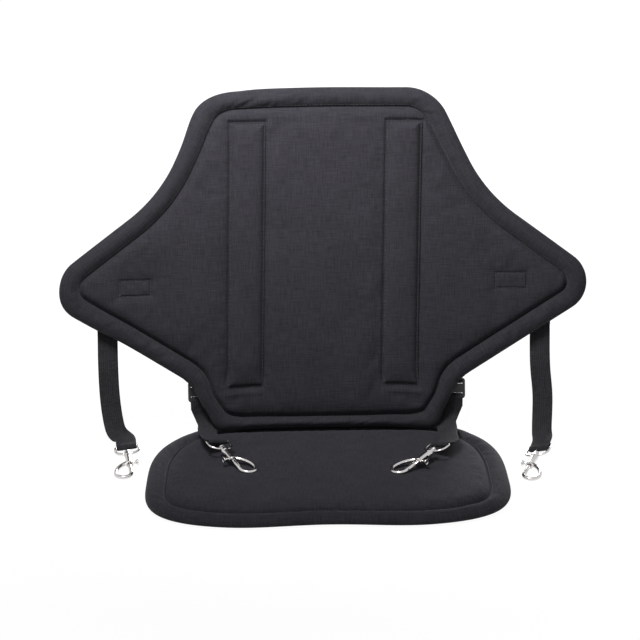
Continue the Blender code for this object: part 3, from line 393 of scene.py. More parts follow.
def woven(name, dark, light, pitch, rib=1.0, sheen=0.12, rough=0.86, relief=0.00016):
    """Plain-woven cloth: warp and weft threads that pass over each other, in pattern coordinates."""
    made, tree, shader = nodes_of(name)
    cloth = add_node(tree, "ShaderNodeAttribute", attribute_name="cloth").outputs["Vector"]
    parts = tree.nodes.new("ShaderNodeSeparateXYZ")
    tree.links.new(cloth, parts.inputs[0])

    def plus(first, second):
        return math_node(tree, "ADD", first, second)

    def times(first, second):
        return math_node(tree, "MULTIPLY", first, second)

    drift = times(noise_at(tree, cloth, 90.0, 2.0), pitch * 1.4)
    turn = math.pi / pitch
    warp = math_node(tree, "SINE", times(plus(parts.outputs[0], drift), turn))
    weft = math_node(tree, "SINE", times(plus(parts.outputs[1], drift), turn * rib))
    over = times(warp, weft)
    slubs = noise_at(tree, cloth, 700.0, 4.0, 0.7)
    height = plus(math_node(tree, "ABSOLUTE", over), times(slubs, SLUB))
    height = plus(height, times(ranged(tree, over, -0.5, 0.5, 0.0, 1.0), 0.35))
    patches = noise_at(tree, cloth, 26.0, 4.0, 0.6)
    tone = times(ranged(tree, height, 0.1, 1.3, 0.15, 0.85), ranged(tree, patches, 0.3, 0.7, 0.82, 1.12))
    for stretch in ((900.0, 70.0, 1.0), (60.0, 1000.0, 1.0)):
        drawn = add_node(tree, "ShaderNodeVectorMath", operation="MULTIPLY")
        tree.links.new(cloth, drawn.inputs[0])
        drawn.inputs[1].default_value = stretch
        streak = noise_at(tree, drawn.outputs[0], 1.0, 2.0, 0.6)
        tone = times(tone, ranged(tree, streak, 0.32, 0.68, 1.0 - MOTTLE, 1.0 + MOTTLE))
    lint = noise_at(tree, cloth, 1500.0, 2.0, 0.8)
    tone = plus(tone, ranged(tree, lint, 0.52, 0.78, 0.0, 0.52))
    tree.links.new(mixed_colour(tree, tone, dark, light), shader.inputs["Base Color"])
    add_bump(tree, shader, height, 0.75, relief)
    tree.links.new(ranged(tree, slubs, 0.3, 0.7, rough - 0.06, rough + 0.06), shader.inputs["Roughness"])
    shader.inputs["Specular IOR Level"].default_value = 0.06
    shader.inputs["Sheen Weight"].default_value = sheen
    shader.inputs["Sheen Roughness"].default_value = 0.45
    shader.inputs["Sheen Tint"].default_value = SHEEN_TINT
    return made


def thread_finish():
    """Twisted sewing thread."""
    made, tree, shader = nodes_of("sewing_thread")
    twist = add_node(tree, "ShaderNodeTexWave", Scale=900.0, Distortion=1.5)
    tree.links.new(object_place(tree), twist.inputs["Vector"])
    light = tuple(channel * 2.0 for channel in THREAD_COLOUR[:3]) + (1.0,)
    tone = mixed_colour(tree, twist.outputs["Fac"], THREAD_COLOUR, light)
    tree.links.new(tone, shader.inputs["Base Color"])
    add_bump(tree, shader, twist.outputs["Fac"], 0.5, 0.0001)
    shader.inputs["Roughness"].default_value = 0.55
    shader.inputs["Sheen Weight"].default_value = 0.25
    return made


def moulded_plastic():
    """Black moulded plastic with a fine satin grain and rubbed patches."""
    made, tree, shader = nodes_of("moulded_plastic")
    grain = noise_at(tree, object_place(tree), 2600.0, 3.0, 0.6)
    rub = noise_at(tree, object_place(tree), 180.0, 3.0, 0.6)
    tree.links.new(mixed_colour(tree, ranged(tree, rub, 0.4, 0.75, 0.0, 1.0), (0.018, 0.018, 0.020, 1.0),
                                (0.045, 0.045, 0.048, 1.0)), shader.inputs["Base Color"])
    tree.links.new(ranged(tree, rub, 0.3, 0.7, 0.34, 0.50), shader.inputs["Roughness"])
    add_bump(tree, shader, grain, 0.25, 0.0001)
    return made


def plated_metal(name, colour, rough, scratch):
    """Nickel plate: bright, with faint handling marks and slightly uneven polish."""
    made, tree, shader = nodes_of(name)
    polish = noise_at(tree, object_place(tree), 240.0, 4.0, 0.6)
    marks = noise_at(tree, object_place(tree), 1900.0, 5.0, 0.75)
    dull = tuple(channel * 0.86 for channel in colour[:3]) + (1.0,)
    tree.links.new(mixed_colour(tree, ranged(tree, marks, 0.45, 0.75, 0.0, 1.0), colour, dull),
                   shader.inputs["Base Color"])
    tree.links.new(ranged(tree, polish, 0.3, 0.7, rough * 0.7, rough * 1.5), shader.inputs["Roughness"])
    add_bump(tree, shader, marks, scratch, 0.00005)
    shader.inputs["Metallic"].default_value = 1.0
    return made


# Meshes

def add_piece(name, points, faces, finish, cloth=None, sharp=None):
    """A mesh object in the scene, shaded smooth; cloth holds its pattern coordinates."""
    mesh = bpy.data.meshes.new(name)
    mesh.from_pydata([tuple(point) for point in points], [], [tuple(face) for face in faces])
    if cloth is not None:
        layer = mesh.attributes.new("cloth", "FLOAT_VECTOR", "POINT")
        layer.data.foreach_set("vector", np.asarray(cloth, np.float32).ravel())
    mesh.materials.append(finish)
    made = bpy.data.objects.new(name, mesh)
    bpy.context.scene.collection.objects.link(made)
    turn_out(mesh)
    mesh.shade_smooth()
    if sharp is not None:
        mesh.set_sharp_from_angle(angle=math.radians(sharp))
    return made


def turn_out(mesh):
    """Make a closed mesh's faces point outwards."""
    shape = bmesh.new()
    shape.from_mesh(mesh)
    bmesh.ops.recalc_face_normals(shape, faces=shape.faces)
    shape.to_mesh(mesh)
    shape.free()


def lattice_faces(rows, columns, wrap_rows=False, wrap_columns=False, start=0):
    """Quads between neighbouring points of a grid whose points are stored row by row."""
    faces = []
    for i in range(rows if wrap_rows else rows - 1):
        for j in range(columns if wrap_columns else columns - 1):
            k = (i + 1) % rows
            m = (j + 1) % columns
            faces.append((start + i * columns + j, start + k * columns + j,
                          start + k * columns + m, start + i * columns + m))
    return faces


def tube_faces(rows, columns, start=0):
    """A closed tube's faces: its wall, its first end and its last end."""
    last = start + (rows - 1) * columns
    ends = [tuple(range(start, start + columns)), tuple(reversed(range(last, last + columns)))]
    return lattice_faces(rows, columns, False, True, start) + ends


def ring_walls(rings):
    """Quads between neighbouring rings of point numbers."""
    return [(outer[i], outer[(i + 1) % len(outer)], inner[(i + 1) % len(outer)], inner[i])
            for outer, inner in zip(rings, rings[1:]) for i in range(len(outer))]


def add_prism(name, low, high, finish):
    """A closed solid between two outlines with as many points."""
    count = len(low)
    faces = [tuple(range(count)), tuple(reversed(range(count, 2 * count)))]
    faces += [(k, (k + 1) % count, count + (k + 1) % count, count + k) for k in range(count)]
    return add_piece(name, low + high, faces, finish)


def stand_in(thing, slot, *nodes, body="root"):
    """Put a piece in its solids' place, on their body, and hide those solids; the slot is not used."""
    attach(thing, body)
    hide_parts(*nodes)


def smooth_with_edges(thing, degrees):
    """Shade a piece smooth, apart from edges that turn by more than an angle."""
    thing.data.shade_smooth()
    thing.data.set_sharp_from_angle(angle=math.radians(degrees))


def read_points(thing):
    """A mesh's points as an array."""
    mesh = thing.data if hasattr(thing, "data") else thing
    points = np.empty(len(mesh.vertices) * 3)
    mesh.vertices.foreach_get("co", points)
    return points.reshape(-1, 3)


def read_cloth(mesh):
    """A mesh's pattern coordinates as an array."""
    values = np.empty(len(mesh.vertices) * 3)
    mesh.attributes["cloth"].data.foreach_get("vector", values)
    return values.reshape(-1, 3)


def write_points(mesh, points):
    """Give a mesh's points new places."""
    mesh.vertices.foreach_set("co", np.asarray(points, np.float32).ravel())
    mesh.update()


def bake_modifiers(thing):
    """Replace an object's mesh with what its modifiers make of it."""
    graph = bpy.context.evaluated_depsgraph_get()
    mesh = bpy.data.meshes.new_from_object(thing.evaluated_get(graph), preserve_all_data_layers=True,
                                           depsgraph=graph)
    thing.modifiers.clear()
    thing.data = mesh
    return thing


def combine(target, tool, operation):
    """Join a tool to the target, or cut it out, and leave only the target."""
    step = target.modifiers.new(operation.title(), "BOOLEAN")
    step.operation = operation
    step.object = tool
    step.solver = "EXACT"
    bake_modifiers(target)
    bpy.data.objects.remove(tool, do_unlink=True)
    return target


def cloth_noise(points, size, seed):
    """Smooth noise from -1 to 1 at each point, with features of about the given size."""
    return np.array([noise.noise(Vector((p[0] / size + seed, p[1] / size, seed))) for p in points])


def soft_step(value, low, high):
    """Smooth 0 to 1 as value runs from low to high."""
    share = np.clip((value - low) / (high - low), 0.0, 1.0)
    return share * share * (3.0 - 2.0 * share)


def run_along(points):
    """How far along a line of points each one lies."""
    return np.concatenate([[0.0], np.cumsum(np.linalg.norm(np.diff(points, axis=0), axis=1))])


def read_line(at, run, rows):
    """A line's rows of three values at one or more distances along it."""
    return np.stack([np.interp(at, run, rows[:, axis]) for axis in range(3)], axis=-1)


def heading(degrees):
    """A flat vector one unit long at an angle from the first axis."""
    return Vector((math.cos(math.radians(degrees)), math.sin(math.radians(degrees))))


def swung(arm, angle):
    """A flat vector turned by an angle."""
    return Vector((arm.x * math.cos(angle) - arm.y * math.sin(angle),
                   arm.x * math.sin(angle) + arm.y * math.cos(angle)))


# Patterns

def back_corners():
    """The backrest's corners, counter-clockwise from the right wing tip."""
    right = [(WING_HALF_SPAN, WING_HEIGHT, WING_RADIUS),
             (SHOULDER_HALF_WIDTH, SHOULDER_HEIGHT, SHOULDER_RADIUS),
             (TOP_HALF_WIDTH, BACK_HEIGHT, TOP_RADIUS)]
    low = [(BASE_FLAT_HALF_WIDTH, 0.0, BASE_BOW_RADIUS), (BASE_HALF_WIDTH, BASE_RISE, BASE_RADIUS),
           (WAIST_HALF_WIDTH, WAIST_HEIGHT, WAIST_RADIUS)]
    left = [(-x, y, r) for x, y, r in reversed(right)]
    low_left = [(-x, y, r) for x, y, r in reversed(low)]
    return right + left + low_left + low


def fillet_plan(inset):
    """Each corner of the backrest, moved inwards: its arc's centre, radius, first point and turn."""
    corners = back_corners()
    count = len(corners)
    places = [Vector(corner[:2]) for corner in corners]
    heads = [(places[(i + 1) % count] - places[i]).normalized() for i in range(count)]
    moved = []
    for i in range(count):
        arriving, leaving = heads[i - 1], heads[i]
        left_in, left_out = Vector((-arriving.y, arriving.x)), Vector((-leaving.y, leaving.x))
        point = places[i] + (left_in + left_out) * (inset / (1.0 + left_in.dot(left_out)))
        outward = arriving.x * leaving.y - arriving.y * leaving.x > 0.0
        radius = max(corners[i][2] - inset, CORNER_ROUND) if outward else corners[i][2] + inset
        moved.append((point, radius))
    plan = []
    for i in range(count):
        point, radius = moved[i]
        arriving, leaving = heads[i - 1], heads[i]
        turn = -arriving.angle_signed(leaving)
        start = point - arriving * (radius * math.tan(abs(turn) / 2.0))
        centre = start + Vector((-arriving.y, arriving.x)) * math.copysign(radius, turn)
        plan.append((centre, radius, start, turn))
    return plan


def back_loop_maker(spacing):
    """A function of inset that gives evenly spaced stations round the backrest."""
    plan = fillet_plan(REFERENCE_INSET)
    count = len(plan)
    arcs = [max(2, round(abs(turn) * max(radius, spacing) / spacing))
            for centre, radius, start, turn in plan]
    ends = [centre + swung(start - centre, turn) for centre, radius, start, turn in plan]
    lines = [max(1, round((plan[(i + 1) % count][2] - ends[i]).length / spacing)) for i in range(count)]

    def loop(inset):
        rows = fillet_plan(inset)
        stations = []
        for i, (centre, radius, start, turn) in enumerate(rows):
            for k in range(arcs[i] + 1):
                stations.append(centre + swung(start - centre, turn * k / arcs[i]))
            end, follower = stations[-1], rows[(i + 1) % count][2]
            for k in range(1, lines[i]):
                stations.append(end.lerp(follower, k / lines[i]))
        return np.array([tuple(station) for station in stations])

    return loop


def seat_points(angles, inset):
    """Points round the seat at the given angles, inset from its edge."""
    cos, sin = np.cos(angles), np.sin(angles)
    rear = sin >= 0.0
    reach = np.where(rear, SEAT_REAR - SEAT_WIDEST, SEAT_FRONT + SEAT_WIDEST)
    power = np.where(rear, SEAT_REAR_POWER, SEAT_FRONT_POWER)
    across = np.sign(cos) * np.abs(cos) ** (2.0 / power)
    along = np.sign(sin) * np.abs(sin) ** (2.0 / power)
    slope = np.stack([np.sign(across) * np.abs(across) ** (power - 1.0) / SEAT_HALF_WIDTH,
                      np.sign(along) * np.abs(along) ** (power - 1.0) / reach], axis=1)
    slope /= np.linalg.norm(slope, axis=1)[:, None]
    x = across * SEAT_HALF_WIDTH - slope[:, 0] * inset
    y = SEAT_WIDEST + along * reach - slope[:, 1] * inset
    notch = (~rear) & (np.abs(x) < SEAT_NOTCH_HALF_WIDTH)
    y = y + np.where(notch, SEAT_NOTCH_DEPTH * (1.0 + np.cos(np.pi * x / SEAT_NOTCH_HALF_WIDTH)) / 2.0, 0.0)
    return np.stack([x, y], axis=1)


def seat_loop_maker(spacing):
    """A function of inset that gives evenly spaced stations round the seat."""
    dense = np.linspace(0.0, 2.0 * np.pi, 20001)
    walked = seat_points(dense, REFERENCE_INSET)
    run = run_along(walked)
    count = int(round(run[-1] / spacing))
    angles = np.interp(np.arange(count) * run[-1] / count, run, dense)

    def loop(inset):
        return seat_points(angles, inset)

    return loop


# Where the sewn outlines stray from the true pattern: place, reach and shift of each stray.
BACK_STRAYS = (
    ((-0.1290, 0.3160), 0.026, (-0.0042, 0.0008)), ((-0.0900, 0.3380), 0.020, (0.0, -0.0022)),
    ((-0.2790, 0.1250), 0.024, (-0.0035, -0.0052)), ((-0.2400, 0.1070), 0.030, (0.0, -0.0035)),
    ((0.1300, 0.3160), 0.026, (0.0018, -0.0012)), ((0.0, 0.3380), 0.060, (0.0, 0.0012)),
    ((-0.0920, 0.0), 0.026, (0.0, -0.0040)), ((0.0920, 0.0), 0.026, (0.0, -0.0040)),
    ((-0.1060, 0.0360), 0.016, (-0.0045, -0.0028)), ((0.1060, 0.0360), 0.016, (0.0045, -0.0028)),
    ((-0.1060, 0.0060), 0.011, (-0.0012, -0.0022)), ((0.1060, 0.0060), 0.014, (0.0040, -0.0030)),
)
BASE_SEAM_DROP = 0.0075
BASE_SEAM_HEIGHT = 0.0190
BASE_SEAM_REACH = 0.0115
SEAT_STRAYS = (
    ((-0.1150, 0.1080), 0.034, (-0.0010, 0.0060)), ((0.1150, 0.1080), 0.034, (0.0010, 0.0060)),
)


def strayed(flat, strays):
    """Pattern points moved by the strays near them."""
    flat = np.atleast_2d(flat)
    moved = flat.copy()
    for place, reach, shift in strays:
        away = np.linalg.norm(flat - np.array(place), axis=1)
        moved += np.exp(-(away / reach) ** 2)[:, None] * np.array(shift)
    return moved


BACK_UP = np.array([0.0, math.sin(BACK_LEAN), math.cos(BACK_LEAN)])
BACK_FRONT = np.array([0.0, -math.cos(BACK_LEAN), math.sin(BACK_LEAN)])
BACK_FOOT = np.array([0.0, BACK_STANCE, SEAT_THICKNESS + BACK_FOOT_GAP])


def place_on_back(flat, outwards):
    """Curl the flat backrest round an upright axis in front of it and lean it back."""
    flat = np.atleast_2d(flat)
    angle = flat[:, 0] / BACK_CURL_RADIUS
    arm = BACK_CURL_RADIUS - outwards
    forward = BACK_CURL_RADIUS - arm * np.cos(angle)
    x = np.outer(arm * np.sin(angle), [1.0, 0.0, 0.0])
    return BACK_FOOT + np.outer(flat[:, 1], BACK_UP) + np.outer(forward, BACK_FRONT) + x


def lift_of_back(flat):
    """The outward direction of the backrest's front at each point of the pattern."""
    flat = np.atleast_2d(flat)
    angle = flat[:, 0] / BACK_CURL_RADIUS
    return np.outer(np.cos(angle), BACK_FRONT) + np.outer(-np.sin(angle), [1.0, 0.0, 0.0])


def place_back_cloth(flat, outwards):
    """The backrest's cloth, with its outline as it was sewn and its bottom band tucked under."""
    flat = strayed(flat, BACK_STRAYS)
    near = np.exp(-((flat[:, 1] - BASE_SEAM_HEIGHT) / BASE_SEAM_REACH) ** 2)
    flat[:, 1] -= BASE_SEAM_DROP * near * (1.0 - soft_step(np.abs(flat[:, 0]), 0.080, 0.118))
    return place_on_back(flat, outwards)


def place_on_seat(flat, outwards):
    """The seat pad lies flat on what is under it."""
    flat = strayed(flat, SEAT_STRAYS)
    return np.column_stack([flat[:, 0], flat[:, 1], np.broadcast_to(outwards, len(flat))])


def lift_of_seat(flat):
    """The outward direction of the seat's top at each point of the pattern."""
    return np.tile([0.0, 0.0, 1.0], (len(np.atleast_2d(flat)), 1))


def back_point(across, along, outwards):
    """One place on the backrest as a Vector."""
    return Vector(place_on_back([[across, along]], np.array([outwards]))[0])


# Padded panels

def ring_tree(ring):
    """A search tree of a ring's points."""
    tree = kdtree.KDTree(len(ring))
    for i, point in enumerate(ring):
        tree.insert((point[0], point[1], 0.0), i)
    tree.balance()
    return tree


def fill_inside(ring, spacing):
    """Even triangles inside a ring: the ring's points first, then a grid of points within."""
    centre = ring.mean(axis=0)
    width, height = ring.max(axis=0) - ring.min(axis=0)
    tree = ring_tree(ring)
    points = [Vector(point) for point in ring]
    rows = int(height / (spacing * 0.866))
    columns = int(width / spacing)
    for j in range(-rows, rows + 1):
        y = centre[1] + j * spacing * 0.866
        for i in range(-columns, columns + 1):
            x = centre[0] + (i + 0.5 * (j % 2)) * spacing
            if inside_ring(ring, x, y) and tree.find((x, y, 0.0))[2] > spacing * 0.62:
                points.append(Vector((x, y)))
    edges = [(i, (i + 1) % len(ring)) for i in range(len(ring))]
    made = geometry.delaunay_2d_cdt(points, edges, [], 1, 1e-7)
    return np.array([tuple(point) for point in made[0]]), [tuple(face) for face in made[2]]


def inside_ring(ring, x, y):
    """Whether a point is inside a ring, by counting crossings."""
    after = np.roll(ring, -1, axis=0)
    spans = (ring[:, 1] > y) != (after[:, 1] > y)
    rise = np.where(spans, after[:, 1] - ring[:, 1], 1.0)
    crossing = ring[:, 0] + (y - ring[:, 1]) * (after[:, 0] - ring[:, 0]) / rise
    return int(np.count_nonzero(spans & (x < crossing))) % 2 == 1


def add_level(points, cloth, pad, flat, height, sign):
    """Add pattern points to a panel at some height, and give their numbers."""
    first = len(points)
    points += list(pad.place(flat, np.full(len(flat), height)))
    cloth += [(x, y, sign) for x, y in flat]
    return list(range(first, len(points)))


def panel_mesh(name, pad, face, rear, finish):
    """A closed pad from rings of (inset, height) on its face and rear, filled with even triangles."""
    points = []
    cloth = []
    faces = []
    firsts = []
    for sign, levels in ((1.0, face), (-1.0, rear)):
        rings = [add_level(points, cloth, pad, pad.loop(inset), height, sign) for inset, height in levels]
        faces += ring_walls(rings)
        inset, height = levels[-1]
        flat, inner_faces = fill_inside(pad.loop(inset), PANEL_SPACING)
        index = rings[-1] + add_level(points, cloth, pad, flat[len(rings[-1]):], height, sign)
        faces += [tuple(index[i] for i in triangle) for triangle in inner_faces]
        firsts.append(rings[0])
    front, back = firsts
    count = len(front)
    faces += [(front[i], back[i], back[(i + 1) % count], front[(i + 1) % count]) for i in range(count)]
    return add_piece(name, points, faces, finish, cloth)


def edge_distance(pad, flat):
    """How far each point is inside the pad's edge, and how far along the edge its nearest point is."""
    ring = pad.loop(0.0)
    run = run_along(ring)
    tree = ring_tree(ring)
    depth = np.full(len(flat), EDGE_SEARCH)
    walked = np.zeros(len(flat))
    for i, (x, y) in enumerate(flat):
        found = tree.find((x, y, 0.0))
        depth[i] = min(found[2], EDGE_SEARCH)
        walked[i] = run[found[1]]
    return depth, walked


def swell(thing, pad, held, cap):
    """Let the cover swell as cloth under pressure where it isn't sewn down, and cap how far."""
    start = read_points(thing)
    cloth = read_cloth(thing.data)
    group = thing.vertex_groups.new(name="sewn")
    for i, weight in enumerate(held):
        if weight > 0.01:
            group.add([i], float(weight), "REPLACE")
    step = thing.modifiers.new("Cloth", "CLOTH")
    for key, value in SWELL_CLOTH.items():
        setattr(step.settings, key, value)
    step.settings.effector_weights.gravity = 0.0
    step.collision_settings.use_collision = False
    step.collision_settings.use_self_collision = False
    step.point_cache.frame_start = 1
    step.point_cache.frame_end = SWELL_STEPS
    scene = bpy.context.scene
    for number in range(1, SWELL_STEPS + 1):
        scene.frame_set(number)
    graph = bpy.context.evaluated_depsgraph_get()
    end = read_points(thing.evaluated_get(graph).to_mesh())
    thing.modifiers.clear()
    thing.vertex_groups.clear()
    scene.frame_set(1)
    lift = pad.lift(cloth[:, :2])
    rise = np.einsum("ij,ij->i", end - start, lift)
    rise = cap * np.tanh(rise / cap)
    write_points(thing.data, start + lift * rise[:, None])


def subdivide_once(thing):
    """Subdivide a piece once, smoothly."""
    step = thing.modifiers.new("Smooth", "SUBSURF")
    step.levels = 1
    step.render_levels = 1
    return bake_modifiers(thing)


def refine_near(thing, near, cuts):
    """Cut a panel's front faces into finer ones where near says so of their pattern points."""
    cloth = read_cloth(thing.data)
    chosen = near(cloth[:, :2]) & (cloth[:, 2] > 0.5)
    shape = bmesh.new()
    shape.from_mesh(thing.data)
    edges = set()
    for face in shape.faces:
        if all(chosen[vert.index] for vert in face.verts):
            edges.update(face.edges)
    bmesh.ops.subdivide_edges(shape, edges=list(edges), cuts=cuts, use_grid_fill=True)
    bmesh.ops.triangulate(shape, faces=[face for face in shape.faces if len(face.verts) > 4])
    shape.to_mesh(thing.data)
    shape.free()
    thing.data.shade_smooth()


def box_distance(flat, centre, half_wide, half_high):
    """Signed distance to a rectangle's outline, negative inside."""
    dx = np.abs(flat[:, 0] - centre[0]) - half_wide
    dy = np.abs(flat[:, 1] - centre[1]) - half_high
    outside = np.hypot(np.maximum(dx, 0.0), np.maximum(dy, 0.0))
    return outside + np.minimum(np.maximum(dx, dy), 0.0)


def box_distance_to_stitches(flat, sign):
    """Signed distance to a wing's stitched box, negative inside."""
    return box_distance(flat, (sign * BOX_ACROSS, BOX_ALONG[sign]), BOX_WIDTH / 2.0, BOX_HEIGHT / 2.0)


def pocket_distance(flat, sign):
    """Signed distance to a leaned pocket's outline, negative inside."""
    share = (flat[:, 1] - POCKET_BOTTOM) / POCKET_LENGTH
    upright = flat.copy()
    drift, lean = POCKET_DRIFTS[sign]
    upright[:, 0] -= drift + lean * share
    length = POCKET_LENGTH + POCKET_TOP_LIFT
    return box_distance(upright, (sign * POCKET_CENTRE, POCKET_BOTTOM + length / 2.0), POCKET_WIDTH / 2.0,
                        length / 2.0)


def grooves(distance, rows):
    """Depth of a sewn line's groove at a distance from it, from (reach, depth) rows."""
    return sum(depth * np.exp(-(distance / reach) ** 2) for reach, depth in rows)


def puckered(pad, flat, pitch, seed, swells):
    """Heights of a panel's cloth: ripples along its seam, then large and small unevenness."""
    depth, walked = edge_distance(pad, flat)
    wave = np.sin(2.0 * np.pi * (walked / pitch + 0.35 * cloth_noise(flat, 0.020, seed)))
    reach = np.exp(-np.maximum(depth - BAND, 0.0) / 0.007) * soft_step(depth, BAND - 0.001, BAND + 0.0025)
    rise = RIPPLE_HEIGHT * wave * reach * (0.5 + 0.5 * cloth_noise(flat, 0.045, seed + 6.0))
    (large, large_size), (small, small_size) = swells
    rise += large * cloth_noise(flat, large_size, seed + 2.0) * soft_step(depth, 0.022, 0.050)
    rise += small * cloth_noise(flat, small_size, seed + 3.0) * soft_step(depth, 0.020, 0.030)
    return rise


def shape_back_panel(thing, pad):
    """Sewn details of the backrest's panels: puckered seams, box stitches, pocket hollows."""
    cloth = read_cloth(thing.data)
    flat, front = cloth[:, :2], cloth[:, 2] > 0.5
    rise = puckered(pad, flat, BACK_RIPPLE, 3.0, BACK_SWELLS)
    for sign in (-1.0, 1.0):
        groove = grooves(box_distance_to_stitches(flat, sign), BOX_GROOVES)
        rise -= np.where(front, groove, groove * 0.5)
        valley = grooves(pocket_distance(flat, sign), POCKET_VALLEYS)
        valley *= 0.4 + 0.6 * soft_step(flat[:, 1], POCKET_BOTTOM + 0.001, POCKET_BOTTOM + 0.012)
        rise -= np.where(front, valley, 0.0)
        under = np.exp(-((flat[:, 1] - POCKET_BOTTOM + POCKET_LIP_DROP) / POCKET_LIP_REACH) ** 2)
        wide = 1.0 - soft_step(np.abs(flat[:, 0] - sign * POCKET_CENTRE), 0.013, 0.020)
        rise += np.where(front, under * wide * POCKET_LIP_HEIGHT, 0.0)
    rise = np.where(front, rise, rise * -0.8)
    write_points(thing.data, read_points(thing) + pad.lift(flat) * rise[:, None])


def shape_seat_panel(thing, pad):
    """Sewn details of the seat's top: puckered seam, soft unevenness, hollows under the knobs."""
    cloth = read_cloth(thing.data)
    flat = cloth[:, :2]
    rise = puckered(pad, flat, SEAT_RIPPLE, 13.0, SEAT_SWELLS)
    for word in ("lower_left", "lower_right"):
        knob = along_snap(snap_frame(SNAPS[word]), KNOB_AT, -KNOB_HEIGHT)
        away = np.hypot(flat[:, 0] - knob.x, flat[:, 1] - knob.y)
        rise -= KNOB_DENT * np.exp(-(away / KNOB_DENT_REACH) ** 2)
    rise = np.where(cloth[:, 2] > 0.5, rise, 0.0)
    write_points(thing.data, read_points(thing) + pad.lift(flat) * rise[:, None])


def build_back_pad(pad, finish):
    """The backrest's padded body: front and rear panels swollen over their foam."""
    thing = panel_mesh("backrest_pad", pad, BACK_FACE_LEVELS, BACK_REAR_LEVELS, finish)
    cloth = read_cloth(thing.data)
    flat, side = cloth[:, :2], cloth[:, 2]
    held = 1.0 - soft_step(edge_distance(pad, flat)[0], *SEAM_HELD)
    for sign in (-1.0, 1.0):
        pocket = pocket_distance(flat, sign)
        held = np.maximum(held, np.where(side > 0.5, 1.0 - soft_step(pocket, *STITCH_HELD), 0.0))
        box = box_distance_to_stitches(flat, sign)
        held = np.maximum(held, 1.0 - soft_step(np.abs(box), *STITCH_HELD))
        held = np.maximum(held, np.where(side < -0.5, 1.0 - soft_step(box, 0.010, 0.030), 0.0))
    swell(thing, pad, held, BACK_SWELL)
    subdivide_once(thing)
    for sign in (-1.0, 1.0):
        refine_near(thing, lambda flat: box_distance_to_stitches(flat, sign) < REFINE_REACH, 3)
        refine_near(thing, lambda flat: np.abs(pocket_distance(flat, sign) - REFINE_OUT) < REFINE_REACH, 1)
    shape_back_panel(thing, pad)
    stand_in(thing, "cover_fabric", "backrest_foam", "backrest_front_cover", "backrest_rear_cover")


def build_seat_pad(pad, finish):
    """The seat's padded body, flat underneath."""
    thing = panel_mesh("seat_pad", pad, SEAT_FACE_LEVELS, SEAT_REAR_LEVELS, finish)
    cloth = read_cloth(thing.data)
    depth = edge_distance(pad, cloth[:, :2])[0]
    held = np.maximum(1.0 - soft_step(depth, *SEAM_HELD), np.where(cloth[:, 2] < 0.0, 1.0, 0.0))
    swell(thing, pad, held, SEAT_SWELL)
    subdivide_once(thing)
    shape_seat_panel(thing, pad)
    stand_in(thing, "cover_fabric", "seat_foam", "seat_top_cover", "seat_bottom_cover")


# Binding

def section_curve(knots, steps):
    """A smooth open curve through (inset, height) knots."""
    points = [Vector(knot) for knot in knots]
    made = []
    for i in range(len(points) - 1):
        before, here = points[max(i - 1, 0)], points[i]
        after, last = points[i + 1], points[min(i + 2, len(points) - 1)]
        for k in range(steps):
            t = k / steps
            made.append(0.5 * ((2.0 * here) + (after - before) * t
                               + (2.0 * before - 5.0 * here + 4.0 * after - last) * t * t
                               + (3.0 * here - before - 3.0 * after + last) * t ** 3))
    made.append(points[-1])
    return made


def build_binding(name, pad, knots, gathers, seed, finish, node):
    """The folded tape round a pad's edge, gathered where its outline turns."""
    outer = section_curve(knots, 3)
    count = len(outer)
    normals = []
    for i in range(count):
        run = (outer[min(i + 1, count - 1)] - outer[max(i - 1, 0)]).normalized()
        normals.append(Vector((-run.y, run.x)))
    if normals[count // 2].x > 0.0:
        normals = [-normal for normal in normals]
    inner = [point - normal * TAPE for point, normal in zip(outer, normals)]
    ring0, ring1 = pad.loop(0.0), pad.loop(0.002)
    outward = (ring0 - ring1) / 0.002
    run = run_along(ring0)
    stations = len(ring0)
    widths = [0.0]
    for here, after in zip(outer, outer[1:]):
        widths.append(widths[-1] + (after - here).length)
    strength = np.full(stations, 0.00045)
    for place, spread, amount in gathers:
        away = np.linalg.norm(ring0 - np.array(place), axis=1)
        strength += amount * np.exp(-(away / spread) ** 2)
    rows = []
    cloth = []
    for j, (point, normal, across) in enumerate(zip(outer, normals, widths)):
        share = across / widths[-1]
        window = math.exp(-((share - GATHER_MIDDLE) / GATHER_REACH) ** 2) * min(1.0, across / 0.0020)
        slanted = run + across
        crease = np.array([1.0 - 2.2 * abs(noise.noise(Vector((s / 0.0125, across / 0.020, seed))))
                           for s in slanted])
        billow = np.array([noise.noise(Vector((s / 0.030, across / 0.035, seed + 7.0))) for s in run])
        bulge = (strength * crease * 0.8 + 0.00028 * billow) * window
        flat = pad.loop(point.x) - outward * (normal.x * bulge)[:, None]
        rows.append(pad.place(flat, point.y + normal.y * bulge))
        cloth.append(np.stack([run, np.full(stations, across), np.zeros(stations)], axis=1))
    for point, across in zip(reversed(inner), reversed(widths)):
        rows.append(pad.place(pad.loop(point.x), np.full(stations, point.y)))
        cloth.append(np.stack([run, np.full(stations, across), np.zeros(stations)], axis=1))
    faces = lattice_faces(len(rows), stations, True, True)
    thing = add_piece(name, np.concatenate(rows), faces, finish, np.concatenate(cloth))
    stand_in(thing, "edge_tape", node)


# Stitches

